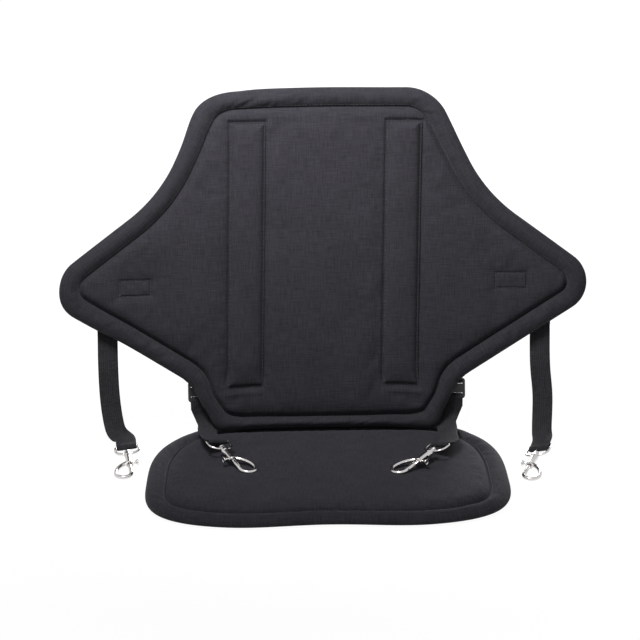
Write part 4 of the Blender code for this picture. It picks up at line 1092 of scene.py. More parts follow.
def build_stitches(name, runs, finish):
    """Thread stitches along runs of (point, normal): each dips into the cloth at both ends."""
    points = []
    faces = []
    for run in runs:
        spots = np.array([tuple(row[0]) for row in run])
        ups = np.array([tuple(row[1]) for row in run])
        walked = run_along(spots)
        number = max(1, int(walked[-1] // (STITCH_LENGTH + STITCH_GAP)))
        pitch = walked[-1] / number
        for k in range(number):
            faces += tube_faces(len(STITCH_PROFILE), STITCH_SIDES, len(points))
            for share, thick, dip in STITCH_PROFILE:
                at = k * pitch + share * (pitch - STITCH_GAP)
                up = read_line(at, walked, ups)
                up /= np.linalg.norm(up)
                ahead = read_line(at + 0.0002, walked, spots)
                side = np.cross(ahead - read_line(at - 0.0002, walked, spots), up)
                side /= max(np.linalg.norm(side), 1e-9)
                centre = read_line(at, walked, spots) + up * (STITCH_RADIUS * dip)
                for m in range(STITCH_SIDES):
                    angle = 2.0 * math.pi * m / STITCH_SIDES
                    reach = side * math.cos(angle) + up * math.sin(angle)
                    points.append(centre + reach * STITCH_RADIUS * thick)
    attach(add_piece(name, points, faces, finish), "root")


def closed_line(flat):
    """A line of points that ends where it starts."""
    return np.concatenate([flat, flat[:1]])


def pad_run(pad, flat, height, sign=1.0):
    """A closed stitch run on a pad along pattern points at one height."""
    flat = closed_line(flat)
    return list(zip(pad.place(flat, np.full(len(flat), height)), pad.lift(flat) * sign))


def back_run(flat, depth):
    """A stitch run on the rear of the backrest."""
    return list(zip(place_on_back(flat, np.full(len(flat), -depth)), -lift_of_back(flat)))


def rectangle(centre, half_wide, half_high):
    """A rectangle's four corners, from its lower right one."""
    x, y = centre
    return np.array([(x + half_wide, y - half_high), (x + half_wide, y + half_high),
                     (x - half_wide, y + half_high), (x - half_wide, y - half_high)])


# Pockets

def pocket_loop(centre, inset, width, low, high, radius, spacing):
    """Even stations round an upright strip with rounded corners, inset from its edge."""
    fillet = max(radius - inset, 0.0003)
    across = max(2, int(round((width - 2.0 * radius) / spacing)))
    along = max(2, int(round((high - low - 2.0 * radius) / spacing)))
    half = width / 2.0 - inset - fillet
    top, bottom = high - inset - fillet, low + inset + fillet
    middles = [Vector((centre + half, top)), Vector((centre - half, top)),
               Vector((centre - half, bottom)), Vector((centre + half, bottom))]
    stations = []
    for turn, middle in enumerate(middles):
        for k in range(5):
            stations.append(middle + heading(90.0 * turn + 22.5 * k) * fillet)
        end = stations[-1]
        follower = middles[(turn + 1) % 4] + heading(90.0 * (turn + 1)) * fillet
        steps = along if turn % 2 else across
        for k in range(1, steps):
            stations.append(end.lerp(follower, k / steps))
    return np.array([tuple(station) for station in stations])


def leaned(flat):
    """Pocket points shifted to the right, further towards the top, as the pockets were sewn on."""
    share = (flat[:, 1] - POCKET_BOTTOM) / POCKET_LENGTH
    drift, lean = POCKET_DRIFTS[1.0 if flat[:, 0].mean() > 0.0 else -1.0]
    moved = flat.copy()
    moved[:, 0] += drift + lean * share
    moved[:, 1] += POCKET_TOP_LIFT * share
    return moved


def build_stay(word, centre, finish):
    """The flexible batten inside a pocket, with rounded ends and edges."""
    low = POCKET_BOTTOM + (POCKET_LENGTH - STAY_LENGTH) / 2.0
    base = BACK_FACE + STAY_GAP
    points = []
    rings = []
    for inset, height in ((0.0006, 0.0), (0.0, 0.0004), (0.0, STAY_THICKNESS - 0.0004),
                          (0.0006, STAY_THICKNESS)):
        flat = leaned(pocket_loop(centre, inset, STAY_WIDTH, low, low + STAY_LENGTH, 0.0060, 0.0040))
        rings.append(list(range(len(points), len(points) + len(flat))))
        points += list(place_on_back(flat, np.full(len(flat), base + height)))
    faces = [tuple(rings[0]), tuple(reversed(rings[-1]))] + ring_walls(rings)
    batten = add_piece(word + "_stay_batten", points, faces, finish, sharp=50.0)
    stand_in(batten, "black_plastic", word + "_stay")


def build_pocket(word, centre, pad, finish):
    """A stay pocket: a strip sewn down all round, raised over its stay, puckered at the stitches."""
    surface = BACK_FACE + POCKET_GAP

    def outline(inset):
        return pocket_loop(centre, inset, POCKET_WIDTH, POCKET_BOTTOM, POCKET_BOTTOM + POCKET_LENGTH,
                           POCKET_CORNER, POCKET_SPACING)

    points = []
    cloth = []
    rings = []
    for inset, height in POCKET_LEVELS:
        flat = outline(inset)
        rise = 0.00022 * cloth_noise(flat, 0.012, centre * 40.0) + 0.00035 * cloth_noise(flat, 0.040, 2.0)
        around = np.arange(len(flat)) * POCKET_SPACING
        dimple = np.cos(2.0 * np.pi * around / POCKET_DIMPLE_PITCH) * 0.00030
        dimple *= math.exp(-((inset - 0.0015) / 0.0009) ** 2)
        fullness = POCKET_END_FULLNESS + (1.0 - POCKET_END_FULLNESS) * soft_step(
            flat[:, 1], POCKET_BOTTOM + 0.002, POCKET_BOTTOM + 0.024)
        swollen = height * fullness if height > 0.0 else height
        level = surface + swollen + rise * min(1.0, inset / 0.0030) + dimple
        rings.append(add_level(points, cloth, pad, leaned(flat), level, 1.0))
    faces = ring_walls(rings) + [tuple(rings[-1]), tuple(reversed(rings[0]))]
    thing = add_piece(word + "_stay_pocket_cloth", points, faces, finish, cloth)
    stand_in(thing, "cover_fabric", word + "_stay_pocket")
    return pad_run(pad, leaned(outline(0.0013)), surface - 0.0021)


# Webbing

def relax(rows, passes):
    """Ease the bends of a line's rows in place, its ends kept."""
    for number in range(passes):
        rows[1:-1] = rows[1:-1] * 0.5 + (rows[:-2] + rows[2:]) * 0.25


def eased_route(route, passes):
    """The same route with its bends eased, its ends kept."""
    place, side, walked = even_route(route, 0.0010)
    relax(place, passes)
    relax(side, passes)
    return [(Vector(spot), Vector(width).normalized()) for spot, width in zip(place, side)]


def smooth_route(knots, steps):
    """Points on a smooth curve through the knots; each knot is a place and a width direction."""
    last = len(knots) - 1
    spans = [(after[0] - here[0]).normalized() for here, after in zip(knots, knots[1:])]
    headings = [spans[0]]
    headings += [(before + after).normalized() for before, after in zip(spans, spans[1:])]
    headings.append(spans[-1])
    route = []
    for i in range(last):
        (start, start_width), (end, end_width) = knots[i], knots[i + 1]
        reach = (end - start).length
        for k in range(steps):
            t = k / steps
            ease = t * t * (3.0 - 2.0 * t)
            leaving = headings[i] * (reach * t * (1.0 - t) ** 2)
            arriving = headings[i + 1] * (reach * t * t * (1.0 - t))
            width = start_width.lerp(end_width, ease).normalized()
            route.append((start.lerp(end, ease) + leaving - arriving, width))
    route.append(knots[-1])
    return route


def loop_round(bar, away, face, width, radius, tail):
    """A webbing end folded round a bar: from the end of its tail, round the bar, to the live leg."""
    half = WEB_LEG
    lead = away * (radius * FOLD_LEAD)
    route = []
    for k in range(5):
        route.append((bar + away * tail + face * half + (lead - away * tail) * (k / 4.0), width))
    for k in range(17):
        angle = math.radians(-20.0 + 220.0 * k / 16.0)
        route.append((bar + face * (radius * math.cos(angle)) - away * (radius * math.sin(angle)), width))
    route.append((bar + lead - face * half, width))
    return route


def even_route(route, spacing):
    """The same route with evenly spaced stations."""
    spots = np.array([tuple(row[0]) for row in route])
    widths = np.array([tuple(row[1]) for row in route])
    walked = run_along(spots)
    count = max(2, int(round(walked[-1] / spacing)))
    at = np.linspace(0.0, walked[-1], count + 1)
    side = read_line(at, walked, widths)
    return read_line(at, walked, spots), side / np.linalg.norm(side, axis=1)[:, None], at


def web_section():
    """Points round a webbing's section as (across, through), with rolled edges."""
    half, thick = WEB_WIDTH / 2.0, WEB_THICKNESS / 2.0
    top = []
    for k in range(13):
        x = half * math.sin(math.radians(-90.0 + 15.0 * k)) * 0.985
        rib = 0.00006 * math.cos(k * math.pi)
        top.append((x, thick * (1.0 - abs(x / half) ** 14) + rib * (1.0 - abs(x / half) ** 8)))
    edge = [(half, thick * 0.35), (half, -thick * 0.35)]
    low = [(x, -z) for x, z in reversed(top)]
    return top + edge + low + [(-x, -z) for x, z in edge]


def build_ribbon(name, route, finish):
    """Flat webbing along a route, and its length."""
    place, side, walked = even_route(route, 0.0010)
    relax(place, 2)
    relax(side, 2)
    ahead = np.gradient(place, axis=0)
    ahead /= np.linalg.norm(ahead, axis=1)[:, None]
    side -= ahead * np.einsum("ij,ij->i", side, ahead)[:, None]
    side /= np.linalg.norm(side, axis=1)[:, None]
    lift = np.cross(side, ahead)
    section = web_section()
    points = []
    cloth = []
    for i in range(len(place)):
        rib = 0.00005 * math.sin(2.0 * math.pi * walked[i] / 0.0020)
        for x, z in section:
            points.append(place[i] + side[i] * x + lift[i] * (z + math.copysign(rib, z)))
            cloth.append((walked[i], x, z))
    faces = tube_faces(len(place), len(section))
    return add_piece(name, points, faces, finish, cloth), float(walked[-1])


def back_frame(across, along, depth):
    """Axes on the rear of the backrest: its own right, up and rearward directions."""
    right = back_point(across + WEB_WIDTH, along, -depth)
    left = back_point(across - WEB_WIDTH, along, -depth)
    side = (right - left).normalized()
    up = Vector(BACK_UP)
    return Frame(back_point(across, along, -depth), up, side, side.cross(up) * -1.0)


WEB_LOOP_RADIUS = math.hypot(ADJUSTER_BAR, ADJUSTER_THICKNESS) / 2.0 + LAYER_GAP + WEB_THICKNESS / 2.0
ADJUSTER_PITCH = ADJUSTER_BAR + ADJUSTER_SLOT
ADJUSTER_HEIGHT = 2.0 * ADJUSTER_PITCH + ADJUSTER_BAR
ADJUSTER_DEPTH = BACK_REAR + SEWN_GAP + WEB_LOOP_RADIUS + WEB_THICKNESS / 2.0
ANCHOR_DEPTH = BACK_REAR + SEWN_GAP + WEB_THICKNESS / 2.0


def build_adjuster(word, top_bar, axes, finish):
    """A ladder-shaped slider with rounded bars and two slots."""
    half_wide = ADJUSTER_WIDTH / 2.0
    high = ADJUSTER_BAR / 2.0
    low = high - ADJUSTER_HEIGHT
    outline = []
    corners = ((half_wide, high, 0), (-half_wide, high, 1), (-half_wide, low, 2), (half_wide, low, 3))
    for x, z, turn in corners:
        centre = Vector((x - math.copysign(ADJUSTER_CORNER, x), z - math.copysign(ADJUSTER_CORNER, z)))
        for k in range(7):
            angle = math.radians(90.0 * turn + 15.0 * k)
            outline.append(centre + Vector((math.cos(angle), math.sin(angle))) * ADJUSTER_CORNER)

    def prism(label, shape, half_thick):
        low, high = [[top_bar + axes.side * p.x + axes.ahead * p.y + axes.up * level for p in shape]
                     for level in (-half_thick, half_thick)]
        return add_prism(label, low, high, finish)

    slider = prism(word + "_adjuster_moulding", outline, ADJUSTER_THICKNESS / 2.0)
    slot_half = WEB_WIDTH / 2.0 + LAYER_GAP / 3.0
    end_half = ADJUSTER_BAR / 2.0 + ADJUSTER_BAR_SWELL
    rungs = ((-end_half, ADJUSTER_GRIP / 2.0 - ADJUSTER_PITCH),
             (-ADJUSTER_GRIP / 2.0 - ADJUSTER_PITCH, end_half - 2.0 * ADJUSTER_PITCH))
    for slot_high, slot_low in rungs:
        shape = [Vector((slot_half, slot_high)), Vector((-slot_half, slot_high)),
                 Vector((-slot_half, slot_low)), Vector((slot_half, slot_low))]
        combine(slider, prism("slot", shape, ADJUSTER_THICKNESS), "DIFFERENCE")
    rounding = slider.modifiers.new("Rounding", "BEVEL")
    rounding.width = 0.00055
    rounding.segments = 3
    rounding.limit_method = "ANGLE"
    rounding.angle_limit = math.radians(40.0)
    bake_modifiers(slider)
    smooth_with_edges(slider, 50.0)
    stand_in(slider, "black_plastic", word + "_adjuster")


def build_anchor(word, across, along, drop, plate_inner, finish, thread):
    """The webbing loop sewn to the rear cover; the upper one turns a mitred corner first."""
    axes = back_frame(across, along, ANCHOR_DEPTH)
    bar = back_point(across, along - WEB_WIDTH / 2.0 - drop, -ADJUSTER_DEPTH)
    sewn = back_point(across, along + WEB_WIDTH / 2.0, -ANCHOR_DEPTH)
    fold = loop_round(bar, Vector(BACK_UP), axes.up, axes.side, WEB_LOOP_RADIUS, drop)
    lead = back_point(across, along - WEB_WIDTH / 2.0 + 0.001, -ANCHOR_DEPTH)
    behind = axes.up * (WEB_THICKNESS + WEB_LAYER_GAP)
    tail_end = back_point(across, along + 0.004, -ANCHOR_DEPTH) + behind
    route = [(tail_end, axes.side), (lead + behind, axes.side)] + fold[6:-1]
    route += [(lead, axes.side), (sewn, axes.side)]
    anchor, length = build_ribbon(word + "_anchor_web", route, finish)
    x, y = across, along - ANCHOR_BOX_DROP
    wide, high = ANCHOR_BOX
    lines = [closed_line(rectangle((x, y), wide, high))]
    for corner in (-1.0, 1.0):
        lines.append(np.array([(x - wide, y - high * corner), (x + wide, y + high * corner)]))
    runs = [back_run(line, ANCHOR_DEPTH + ANCHOR_THREAD_LIFT) for line in lines]
    if plate_inner is not None:
        sign = math.copysign(1.0, across)
        outer_edge = across + sign * WEB_WIDTH / 2.0
        bottom = along - WEB_WIDTH / 2.0
        points = []
        cloth = []
        for k in range(PLATE_COLUMNS + 1):
            s = outer_edge + (sign * plate_inner - outer_edge) * k / PLATE_COLUMNS
            high = bottom + min(abs(outer_edge - s) + 0.002, WEB_WIDTH)
            for z, depth in ((high, 0.0), (high, 1.0), (bottom, 1.0), (bottom, 0.0)):
                far = ANCHOR_DEPTH + WEB_THICKNESS * (depth - 0.5)
                points.append(back_point(s, z, -far))
                cloth.append((abs(s), z - bottom, 0.0))
        plate = add_piece("plate", points, tube_faces(PLATE_COLUMNS + 1, 4), finish, cloth, 40.0)
        combine(anchor, plate, "UNION")
        mitre = np.array([(outer_edge - sign * 0.002, bottom + 0.003),
                          (across - sign * 0.008, along + 0.008)])
        middle = (sign * plate_inner + across - sign * WEB_WIDTH / 2.0) / 2.0
        for line in (mitre, closed_line(rectangle((middle, along), *PLATE_BOX))):
            runs.append(back_run(line, ANCHOR_DEPTH + WEB_THICKNESS / 2.0 + PLATE_THREAD_LIFT))
    smooth_with_edges(anchor, 40.0)
    stand_in(anchor, "webbing", word + "_anchor")
    build_stitches(word + "_anchor_stitches", runs, thread)


# Snaps

def snap_frame(place):
    """Axes of a snap that lies on a surface: ahead to its nose, side to its hook, up."""
    turn, slope = math.radians(place.turn), math.radians(place.slope)
    level = Vector((math.sin(-turn), -math.cos(turn), 0.0))
    ahead = level * math.cos(slope) + Vector((0.0, 0.0, -math.sin(slope)))
    side = Vector((level.y, -level.x, 0.0)) * place.bulge
    up = ahead.cross(side)
    if up.z < 0.0:
        up = -up
    nose = place.floor + HOOK_WIRE + LAYER_GAP * 2.0
    reach = SNAP_LENGTH - 2.0 * HOOK_WIRE - EYE_WIRE
    return Frame(Vector((place.x, place.y, nose + reach * math.sin(slope))), ahead, side, up)


def rolled(axes, angle):
    """The same axes turned about the snap's length, so that the outer end of its side rises."""
    angle *= math.copysign(1.0, axes.side.x * axes.origin.x)
    side = axes.side * math.cos(angle) + axes.up * math.sin(angle)
    up = axes.up * math.cos(angle) - axes.side * math.sin(angle)
    return Frame(axes.origin, axes.ahead, side, up)


def along_snap(axes, a, b=0.0, c=0.0):
    """A point of a snap, a from the outside of its eye, b to the hook's side, c upwards."""
    return axes.origin + axes.ahead * (a - EYE_WIRE) + axes.side * b + axes.up * c


def build_turned(name, axes, profile, segments, finish, closed=False):
    """A turned piece from (along, radius) points; a closed profile makes a ring."""
    points = []
    rings = []
    for a, radius in profile:
        if radius == 0.0:
            rings.append([len(points)])
            points.append(along_snap(axes, a))
            continue
        rings.append(list(range(len(points), len(points) + segments)))
        for k in range(segments):
            angle = 2.0 * math.pi * k / segments
            points.append(along_snap(axes, a, radius * math.cos(angle), radius * math.sin(angle)))
    pairs = list(zip(rings, rings[1:]))
    if closed:
        pairs.append((rings[-1], rings[0]))
    faces = []
    for here, after in pairs:
        for k in range(segments):
            m = (k + 1) % segments
            if len(here) == 1:
                faces.append((here[0], after[k], after[m]))
            elif len(after) == 1:
                faces.append((here[k], after[0], here[m]))
            else:
                faces.append((here[k], here[m], after[m], after[k]))
    return add_piece(name, points, faces, finish, sharp=35.0)


def rounded_profile(profile, radius, steps=3):
    """A turned profile with its inner corners rounded off."""
    made = [profile[0]]
    for before, here, after in zip(profile, profile[1:], profile[2:]):
        p, q, r = Vector(before), Vector(here), Vector(after)
        reach = min(radius, (q - p).length * 0.45, (r - q).length * 0.45)
        first, last = q + (p - q).normalized() * reach, q + (r - q).normalized() * reach
        for k in range(steps + 1):
            t = k / steps
            made.append(tuple(first * (1 - t) ** 2 + q * (2 * t * (1 - t)) + last * t ** 2))
    made.append(profile[-1])
    return made


def build_wire(name, axes, path, radius, sides, finish, closed=False):
    """Round wire along a path of (along, across) points in the snap's plane; radius may vary."""
    count = len(path)
    points = []
    for i in range(count):
        here = Vector(path[i])
        before = Vector(path[i - 1]) if closed or i else here
        after = Vector(path[(i + 1) % count]) if closed or i < count - 1 else here
        ahead = (after - before).normalized()
        normal = Vector((-ahead.y, ahead.x))
        thick = radius[i] if isinstance(radius, list) else radius
        for k in range(sides):
            angle = 2.0 * math.pi * k / sides
            flat = here + normal * (thick * math.cos(angle))
            points.append(along_snap(axes, flat.x, flat.y, thick * math.sin(angle)))
    faces = lattice_faces(count, sides, True, True) if closed else tube_faces(count, sides)
    return add_piece(name, points, faces, finish, sharp=40.0)


def arc_points(centre, radius, start, end, steps):
    """Points on an arc in the snap's plane, angles in degrees."""
    made = []
    for k in range(steps + 1):
        angle = math.radians(start + (end - start) * k / steps)
        made.append((centre[0] + radius * math.cos(angle), centre[1] + radius * math.sin(angle)))
    return made


def build_eye(word, axes, finish):
    """The swivelling eye: a bow of wire whose ends run into the boss that the stem turns in."""
    half = EYE_WIDTH / 2.0 - EYE_WIRE
    hole = STEM_RADIUS + RUNNING_GAP
    arm_end = (hole + BOSS_RADIUS) / 2.0
    boss_end = BOSS_START + BOSS_LENGTH
    drop = (BOSS_START + boss_end) / 2.0 - EYE_SHOULDER
    arm = []
    for k in range(15):
        angle = math.radians(90.0 * k / 14.0)
        arm.append((EYE_SHOULDER + drop * math.cos(angle), arm_end + (half - arm_end) * math.sin(angle)))
    arm += [(EYE_SHOULDER + (EYE_WIRE + EYE_CORNER - EYE_SHOULDER) * k / 5.0, half) for k in range(1, 5)]
    arm += arc_points((EYE_WIRE + EYE_CORNER, half - EYE_CORNER), EYE_CORNER, 90.0, 180.0, 8)
    bar = [(EYE_WIRE, (half - EYE_CORNER) * (1.0 - k / 4.0)) for k in range(1, 4)]
    path = arm + bar + [(EYE_WIRE, 0.0)] + [(a, -b) for a, b in reversed(arm + bar)]
    eye = build_wire(word + "_snap_eye_bow", axes, path, EYE_WIRE, 20, finish)
    ring = [(BOSS_START, hole), (BOSS_START, BOSS_RADIUS - 0.0004), (BOSS_START + 0.0004, BOSS_RADIUS),
            (boss_end - 0.0004, BOSS_RADIUS), (boss_end, BOSS_RADIUS - 0.0004), (boss_end, hole)]
    combine(eye, build_turned("boss", axes, ring, 40, finish, closed=True), "UNION")
    return eye


def hook_path():
    """The hook's middle line: out from the housing, round the nose and back to the bolt's tip."""
    reach = HOOK_BULGE - HOOK_WIRE
    nose_radius = reach / 2.0
    nose_centre = SNAP_LENGTH - HOOK_WIRE - nose_radius
    run = nose_centre - HOOK_START
    rise = reach - HOOK_ROOT
    flank_radius = (run ** 2 + rise ** 2) / (2.0 * rise)
    start = math.degrees(math.acos(-run / flank_radius))
    flank = arc_points((nose_centre, reach - flank_radius), flank_radius, start, 90.0, 22)
    nose = arc_points((nose_centre, nose_radius), nose_radius, 90.0, -90.0, 32)
    return flank + nose[1:] + [(HOOK_TIP, 0.0)]


def build_body(word, axes, finish):
    """The snap's body: headed stem, swivel barrel, bolt housing and hook in one casting."""
    bore = BOLT_RADIUS + RUNNING_GAP
    head_end = BOSS_START - RUNNING_GAP
    head_start = head_end - HEAD_LENGTH
    barrel_start = BOSS_START + BOSS_LENGTH + RUNNING_GAP
    barrel_end = barrel_start + BARREL_LENGTH
    neck = barrel_end + BARREL_TAPER
    profile = [
        (head_start, 0.0), (head_start, 0.0019), (head_start + 0.0010, HEAD_RADIUS), (head_end, HEAD_RADIUS),
        (head_end, STEM_RADIUS), (barrel_start, STEM_RADIUS), (barrel_start, BARREL_RADIUS),
        (barrel_end, BARREL_RADIUS), (neck, HOUSING_RADIUS), (HOUSING_END - 0.0026, HOUSING_RADIUS),
        (HOUSING_END - 0.0020, HOUSING_RADIUS + 0.0003), (HOUSING_END, HOUSING_RADIUS + 0.0003),
        (HOUSING_END, bore), (BORE_START, bore), (BORE_START, 0.0)]
    body = build_turned(word + "_snap_casting", axes, rounded_profile(profile, 0.0004), 48, finish)
    path = hook_path()
    count = len(path)
    thick = [HOOK_WIRE * (1.0 + 0.18 * math.exp(-k / 5.0) + 0.20 * math.exp(-(count - 1 - k) / 3.0))
             for k in range(count)]
    combine(body, build_wire("hook", axes, path, thick, 24, finish), "UNION")
    drill = [(BORE_START, 0.0), (BORE_START, bore), (HOOK_TIP, bore), (HOOK_TIP, 0.0)]
    combine(body, build_turned("bore", axes, drill, 48, finish), "DIFFERENCE")
    slot_half = KNOB_POST + RUNNING_GAP
    low, high = KNOB_AT - BOLT_TRAVEL - slot_half, KNOB_AT + slot_half
    rim = []
    for centre, first in ((high - slot_half, -90.0), (low + slot_half, 90.0)):
        rim += arc_points((centre, 0.0), slot_half, first, first + 180.0, 10)
    low, high = [[along_snap(axes, a, across, c) for a, c in rim]
                 for across in (-bore / 2.0, -BARREL_RADIUS - RUNNING_GAP)]
    return combine(body, add_prism("slot", low, high, finish), "DIFFERENCE")


def build_bolt(word, axes, finish):
    """The sliding bolt that closes the hook, with its flared thumb knob."""
    tip = HOOK_TIP - RUNNING_GAP
    profile = [(BOLT_REAR, 0.0), (BOLT_REAR, BOLT_RADIUS), (tip, BOLT_RADIUS), (tip, 0.0)]
    bolt = build_turned(word + "_snap_slide_bolt", axes, rounded_profile(profile, 0.0003), 40, finish)
    foot = along_snap(axes, KNOB_AT) - axes.side * EYE_WIRE
    dish = [(0.0, 0.0), (0.0, KNOB_POST), (KNOB_NECK, KNOB_POST),
            (KNOB_HEIGHT - 0.0012, KNOB_RADIUS - 0.0003),
            (KNOB_HEIGHT - 0.0007, KNOB_RADIUS), (KNOB_HEIGHT - 0.0002, KNOB_RADIUS),
            (KNOB_HEIGHT, KNOB_RADIUS - 0.0003), (KNOB_HEIGHT - 0.0004, KNOB_RADIUS - 0.0010),
            (KNOB_HEIGHT - 0.0006, 0.0)]
    knob_axes = Frame(foot, -axes.side, axes.ahead, axes.up)
    knob = build_turned("knob", knob_axes, rounded_profile(dish, 0.0003), 36, finish)
    return combine(bolt, knob, "UNION")


def build_spring(word, axes, finish):
    """The coil spring that pushes the bolt shut."""
    radius = BOLT_RADIUS - SPRING_WIRE
    start = BORE_START + SPRING_WIRE + LAYER_GAP
    end = BOLT_REAR - SPRING_WIRE - LAYER_GAP
    steps = SPRING_TURNS * 24
    points = []
    for i in range(steps + 1):
        turn = 2.0 * math.pi * SPRING_TURNS * i / steps
        a = start + (end - start) * i / steps
        for k in range(8):
            angle = 2.0 * math.pi * k / 8
            r = radius + SPRING_WIRE * math.cos(angle)
            points.append(along_snap(axes, a + SPRING_WIRE * math.sin(angle), r * math.cos(turn),
                                     r * math.sin(turn)))
    return add_piece(word + "_snap_coil", points, tube_faces(steps + 1, 8), finish)


def build_snap(word, axes, eye_axes, bright, steel):
    """One swivel bolt snap, each piece on the body that its solid moves with."""
    rows = (
        (build_eye(word, eye_axes, bright), "root", "_snap_eye", "bright_metal"),
        (build_body(word, axes, bright), word + "_snap", "_snap_body", "bright_metal"),
        (build_bolt(word, axes, bright), word + "_bolt", "_snap_bolt", "bright_metal"),
        (build_spring(word, axes, steel), word + "_snap", "_snap_spring", "spring_steel"),
    )
    for thing, body, node, slot in rows:
        smooth_with_edges(thing, 38.0)
        stand_in(thing, slot, word + node, body=body)
    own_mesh(rows[-1][0])


def strap_end(body, eye, rise):
    """Where a strap leaves its eye: the eye bar, the way back along the strap, its width and its top."""
    bar = along_snap(eye, EYE_WIRE)
    width = eye.side * math.copysign(1.0, eye.side.x)
    back = Vector((-body.ahead.x, -body.ahead.y, 0.0)).normalized()
    away = back * math.cos(rise) + Vector((0.0, 0.0, math.sin(rise)))
    away = (away - width * width.dot(away)).normalized()
    top = width.cross(away)
    return Frame(bar, away, width, top * math.copysign(1.0, top.z))


def upper_route(side, eye):
    """The upper strap hangs behind its wing and curves forward to its snap on the ground."""
    top = back_point(side * UPPER_STRAP_ACROSS, UPPER_HANG_LOW, -ADJUSTER_DEPTH)
    wide = back_frame(side * UPPER_STRAP_ACROSS, UPPER_HANG_LOW, ADJUSTER_DEPTH).side
    drift = eye.origin - top
    bow = Vector((UPPER_BOW_RIGHT if side > 0.0 else -UPPER_BOW_LEFT, 0.0, 0.0))
    route = [(top, wide)]
    for share in UPPER_COURSE:
        passed = top + bow + Vector((drift.x * share[0], drift.y * share[1], drift.z * share[2]))
        route.append((passed, wide.lerp(eye.side, share[0])))
    route.append((eye.origin + eye.ahead * UPPER_EYE_LEAD + eye.up * WEB_LEG, eye.side))
    return route


def lower_route(side, eye):
    """The lower strap comes down behind the backrest's lower corner, under it and over the seat."""
    corner = back_point(side * (BASE_HALF_WIDTH + LOWER_CORNER_OUT[side]), 0.0, 0.0)
    lying = SEAT_THICKNESS + WEB_THICKNESS + WEB_WIDTH / 2.0 * math.sin(LOWER_TWIST)

    def twisted(share):
        angle = LOWER_TWIST * share
        return Vector((math.cos(angle), 0.0, side * math.sin(angle)))

    rear = corner.y + EDGE_HALF + FRAME_TAPE + LOWER_REAR_GAP
    front = corner.y - EDGE_HALF - FRAME_TAPE - LOWER_FRONT_GAP
    lead_in = Vector((side * LOWER_LEAD_OUT, WEB_THICKNESS, LOWER_LEAD_RISE))
    under = Vector((corner.x, front, lying))
    lead_out = eye.origin + eye.ahead * LOWER_EYE_LEAD + eye.up * WEB_LEG
    return [
        (Vector((corner.x, rear, lying)) + lead_in, twisted(0.5)),
        (Vector((corner.x, (rear + corner.y) / 2.0, lying + WEB_THICKNESS)), twisted(1.0)),
        (under, twisted(1.0)),
        (under.lerp(lead_out, LOWER_MIDDLE), twisted(1.0).lerp(eye.side, LOWER_MIDDLE)),
        (lead_out, eye.side),
    ]


def build_strap(word, across, along, drop, middle, eye, held, finish):
    """A strap from its adjuster's lower bar to its snap's eye, folded round at both ends."""
    axes = back_frame(across, along, ADJUSTER_DEPTH)
    bar = back_point(across, along - WEB_WIDTH / 2.0 - drop - 2.0 * ADJUSTER_PITCH, -ADJUSTER_DEPTH)
    up = Vector(BACK_UP)
    start = loop_round(bar, -up, axes.up, axes.side, WEB_LOOP_RADIUS, ADJUSTER_TAIL)
    eye_radius = EYE_WIRE + LAYER_GAP + WEB_THICKNESS / 2.0
    end = loop_round(eye.origin, eye.ahead, -eye.up, eye.side, eye_radius, EYE_TAIL)
    knots = [start[-1]] + middle + [end[-1]]
    route = start[:-1] + eased_route(smooth_route(knots, 12), ROUTE_EASING[held])[:-1] + list(reversed(end))
    strap, length = build_ribbon(word + "_strap_web", route, finish)
    stand_in(strap, "webbing", word + "_strap")


# Back strip

def build_hinge(finish, thread):
    """The tape along the back edges: up the rear of the backrest and over the seat's tape."""
    foot = 2.0 * (LAYER_GAP + FRAME_TAPE + CREST_HALF) + LAYER_GAP + FRAME_TAPE
    columns = 89
    rear = BACK_REAR + SEWN_GAP
    points = []
    cloth = []
    rows = 0
    for k in range(columns + 1):
        across = HINGE_HALF_WIDTH * (2.0 * k / columns - 1.0)
        high = back_point(across, HINGE_HEIGHT + BAND, -rear - FRAME_TAPE / 2.0)
        bend = back_point(across, BASE_RISE, -rear - FRAME_TAPE * 1.5)
        heel = Vector((bend.x, bend.y + 0.0004, foot + FRAME_TAPE * 0.6))
        toe = heel + Vector((0.0, HINGE_FOOT, 0.0))
        line = [high.lerp(bend, m / 8.0) for m in range(8)]
        for m in range(7):
            t = m / 6.0
            line.append(bend * (1 - t) ** 2 + heel * (2 * t * (1 - t)) + heel.lerp(toe, 0.35) * t ** 2)
        line += [heel.lerp(toe, 0.5), heel.lerp(toe, 0.75), toe]
        rows = len(line)
        ripple = 0.00025 * noise.noise(Vector((across / 0.012, 1.0, 4.0)))
        walked = 0.0
        for side in (1.0, -1.0):
            chosen = line if side > 0.0 else list(reversed(line))
            for m, spot in enumerate(chosen):
                before, after = chosen[max(m - 1, 0)], chosen[min(m + 1, rows - 1)]
                run = (after - before).normalized()
                out = Vector((1.0, 0.0, 0.0)).cross(run)
                if m:
                    walked += (spot - chosen[m - 1]).length * side
                points.append(spot + out * (0.00045) + out * (ripple * side))
                cloth.append((across, walked, 0.0))
    thing = add_piece("hinge_strip_tape", points, tube_faces(columns + 1, rows * 2), finish, cloth)
    stand_in(thing, "edge_tape", "hinge_strip")
    runs = []
    for along in (HINGE_HEIGHT + BAND - 0.003, BAND + 0.004):
        flat = np.array([(HINGE_HALF_WIDTH * 0.98 * (2.0 * k / 40 - 1.0), along) for k in range(41)])
        runs.append(back_run(flat, rear + FRAME_TAPE / 2.0 + 0.0005))
    build_stitches("hinge_strip_stitches", runs, thread)


# Stage

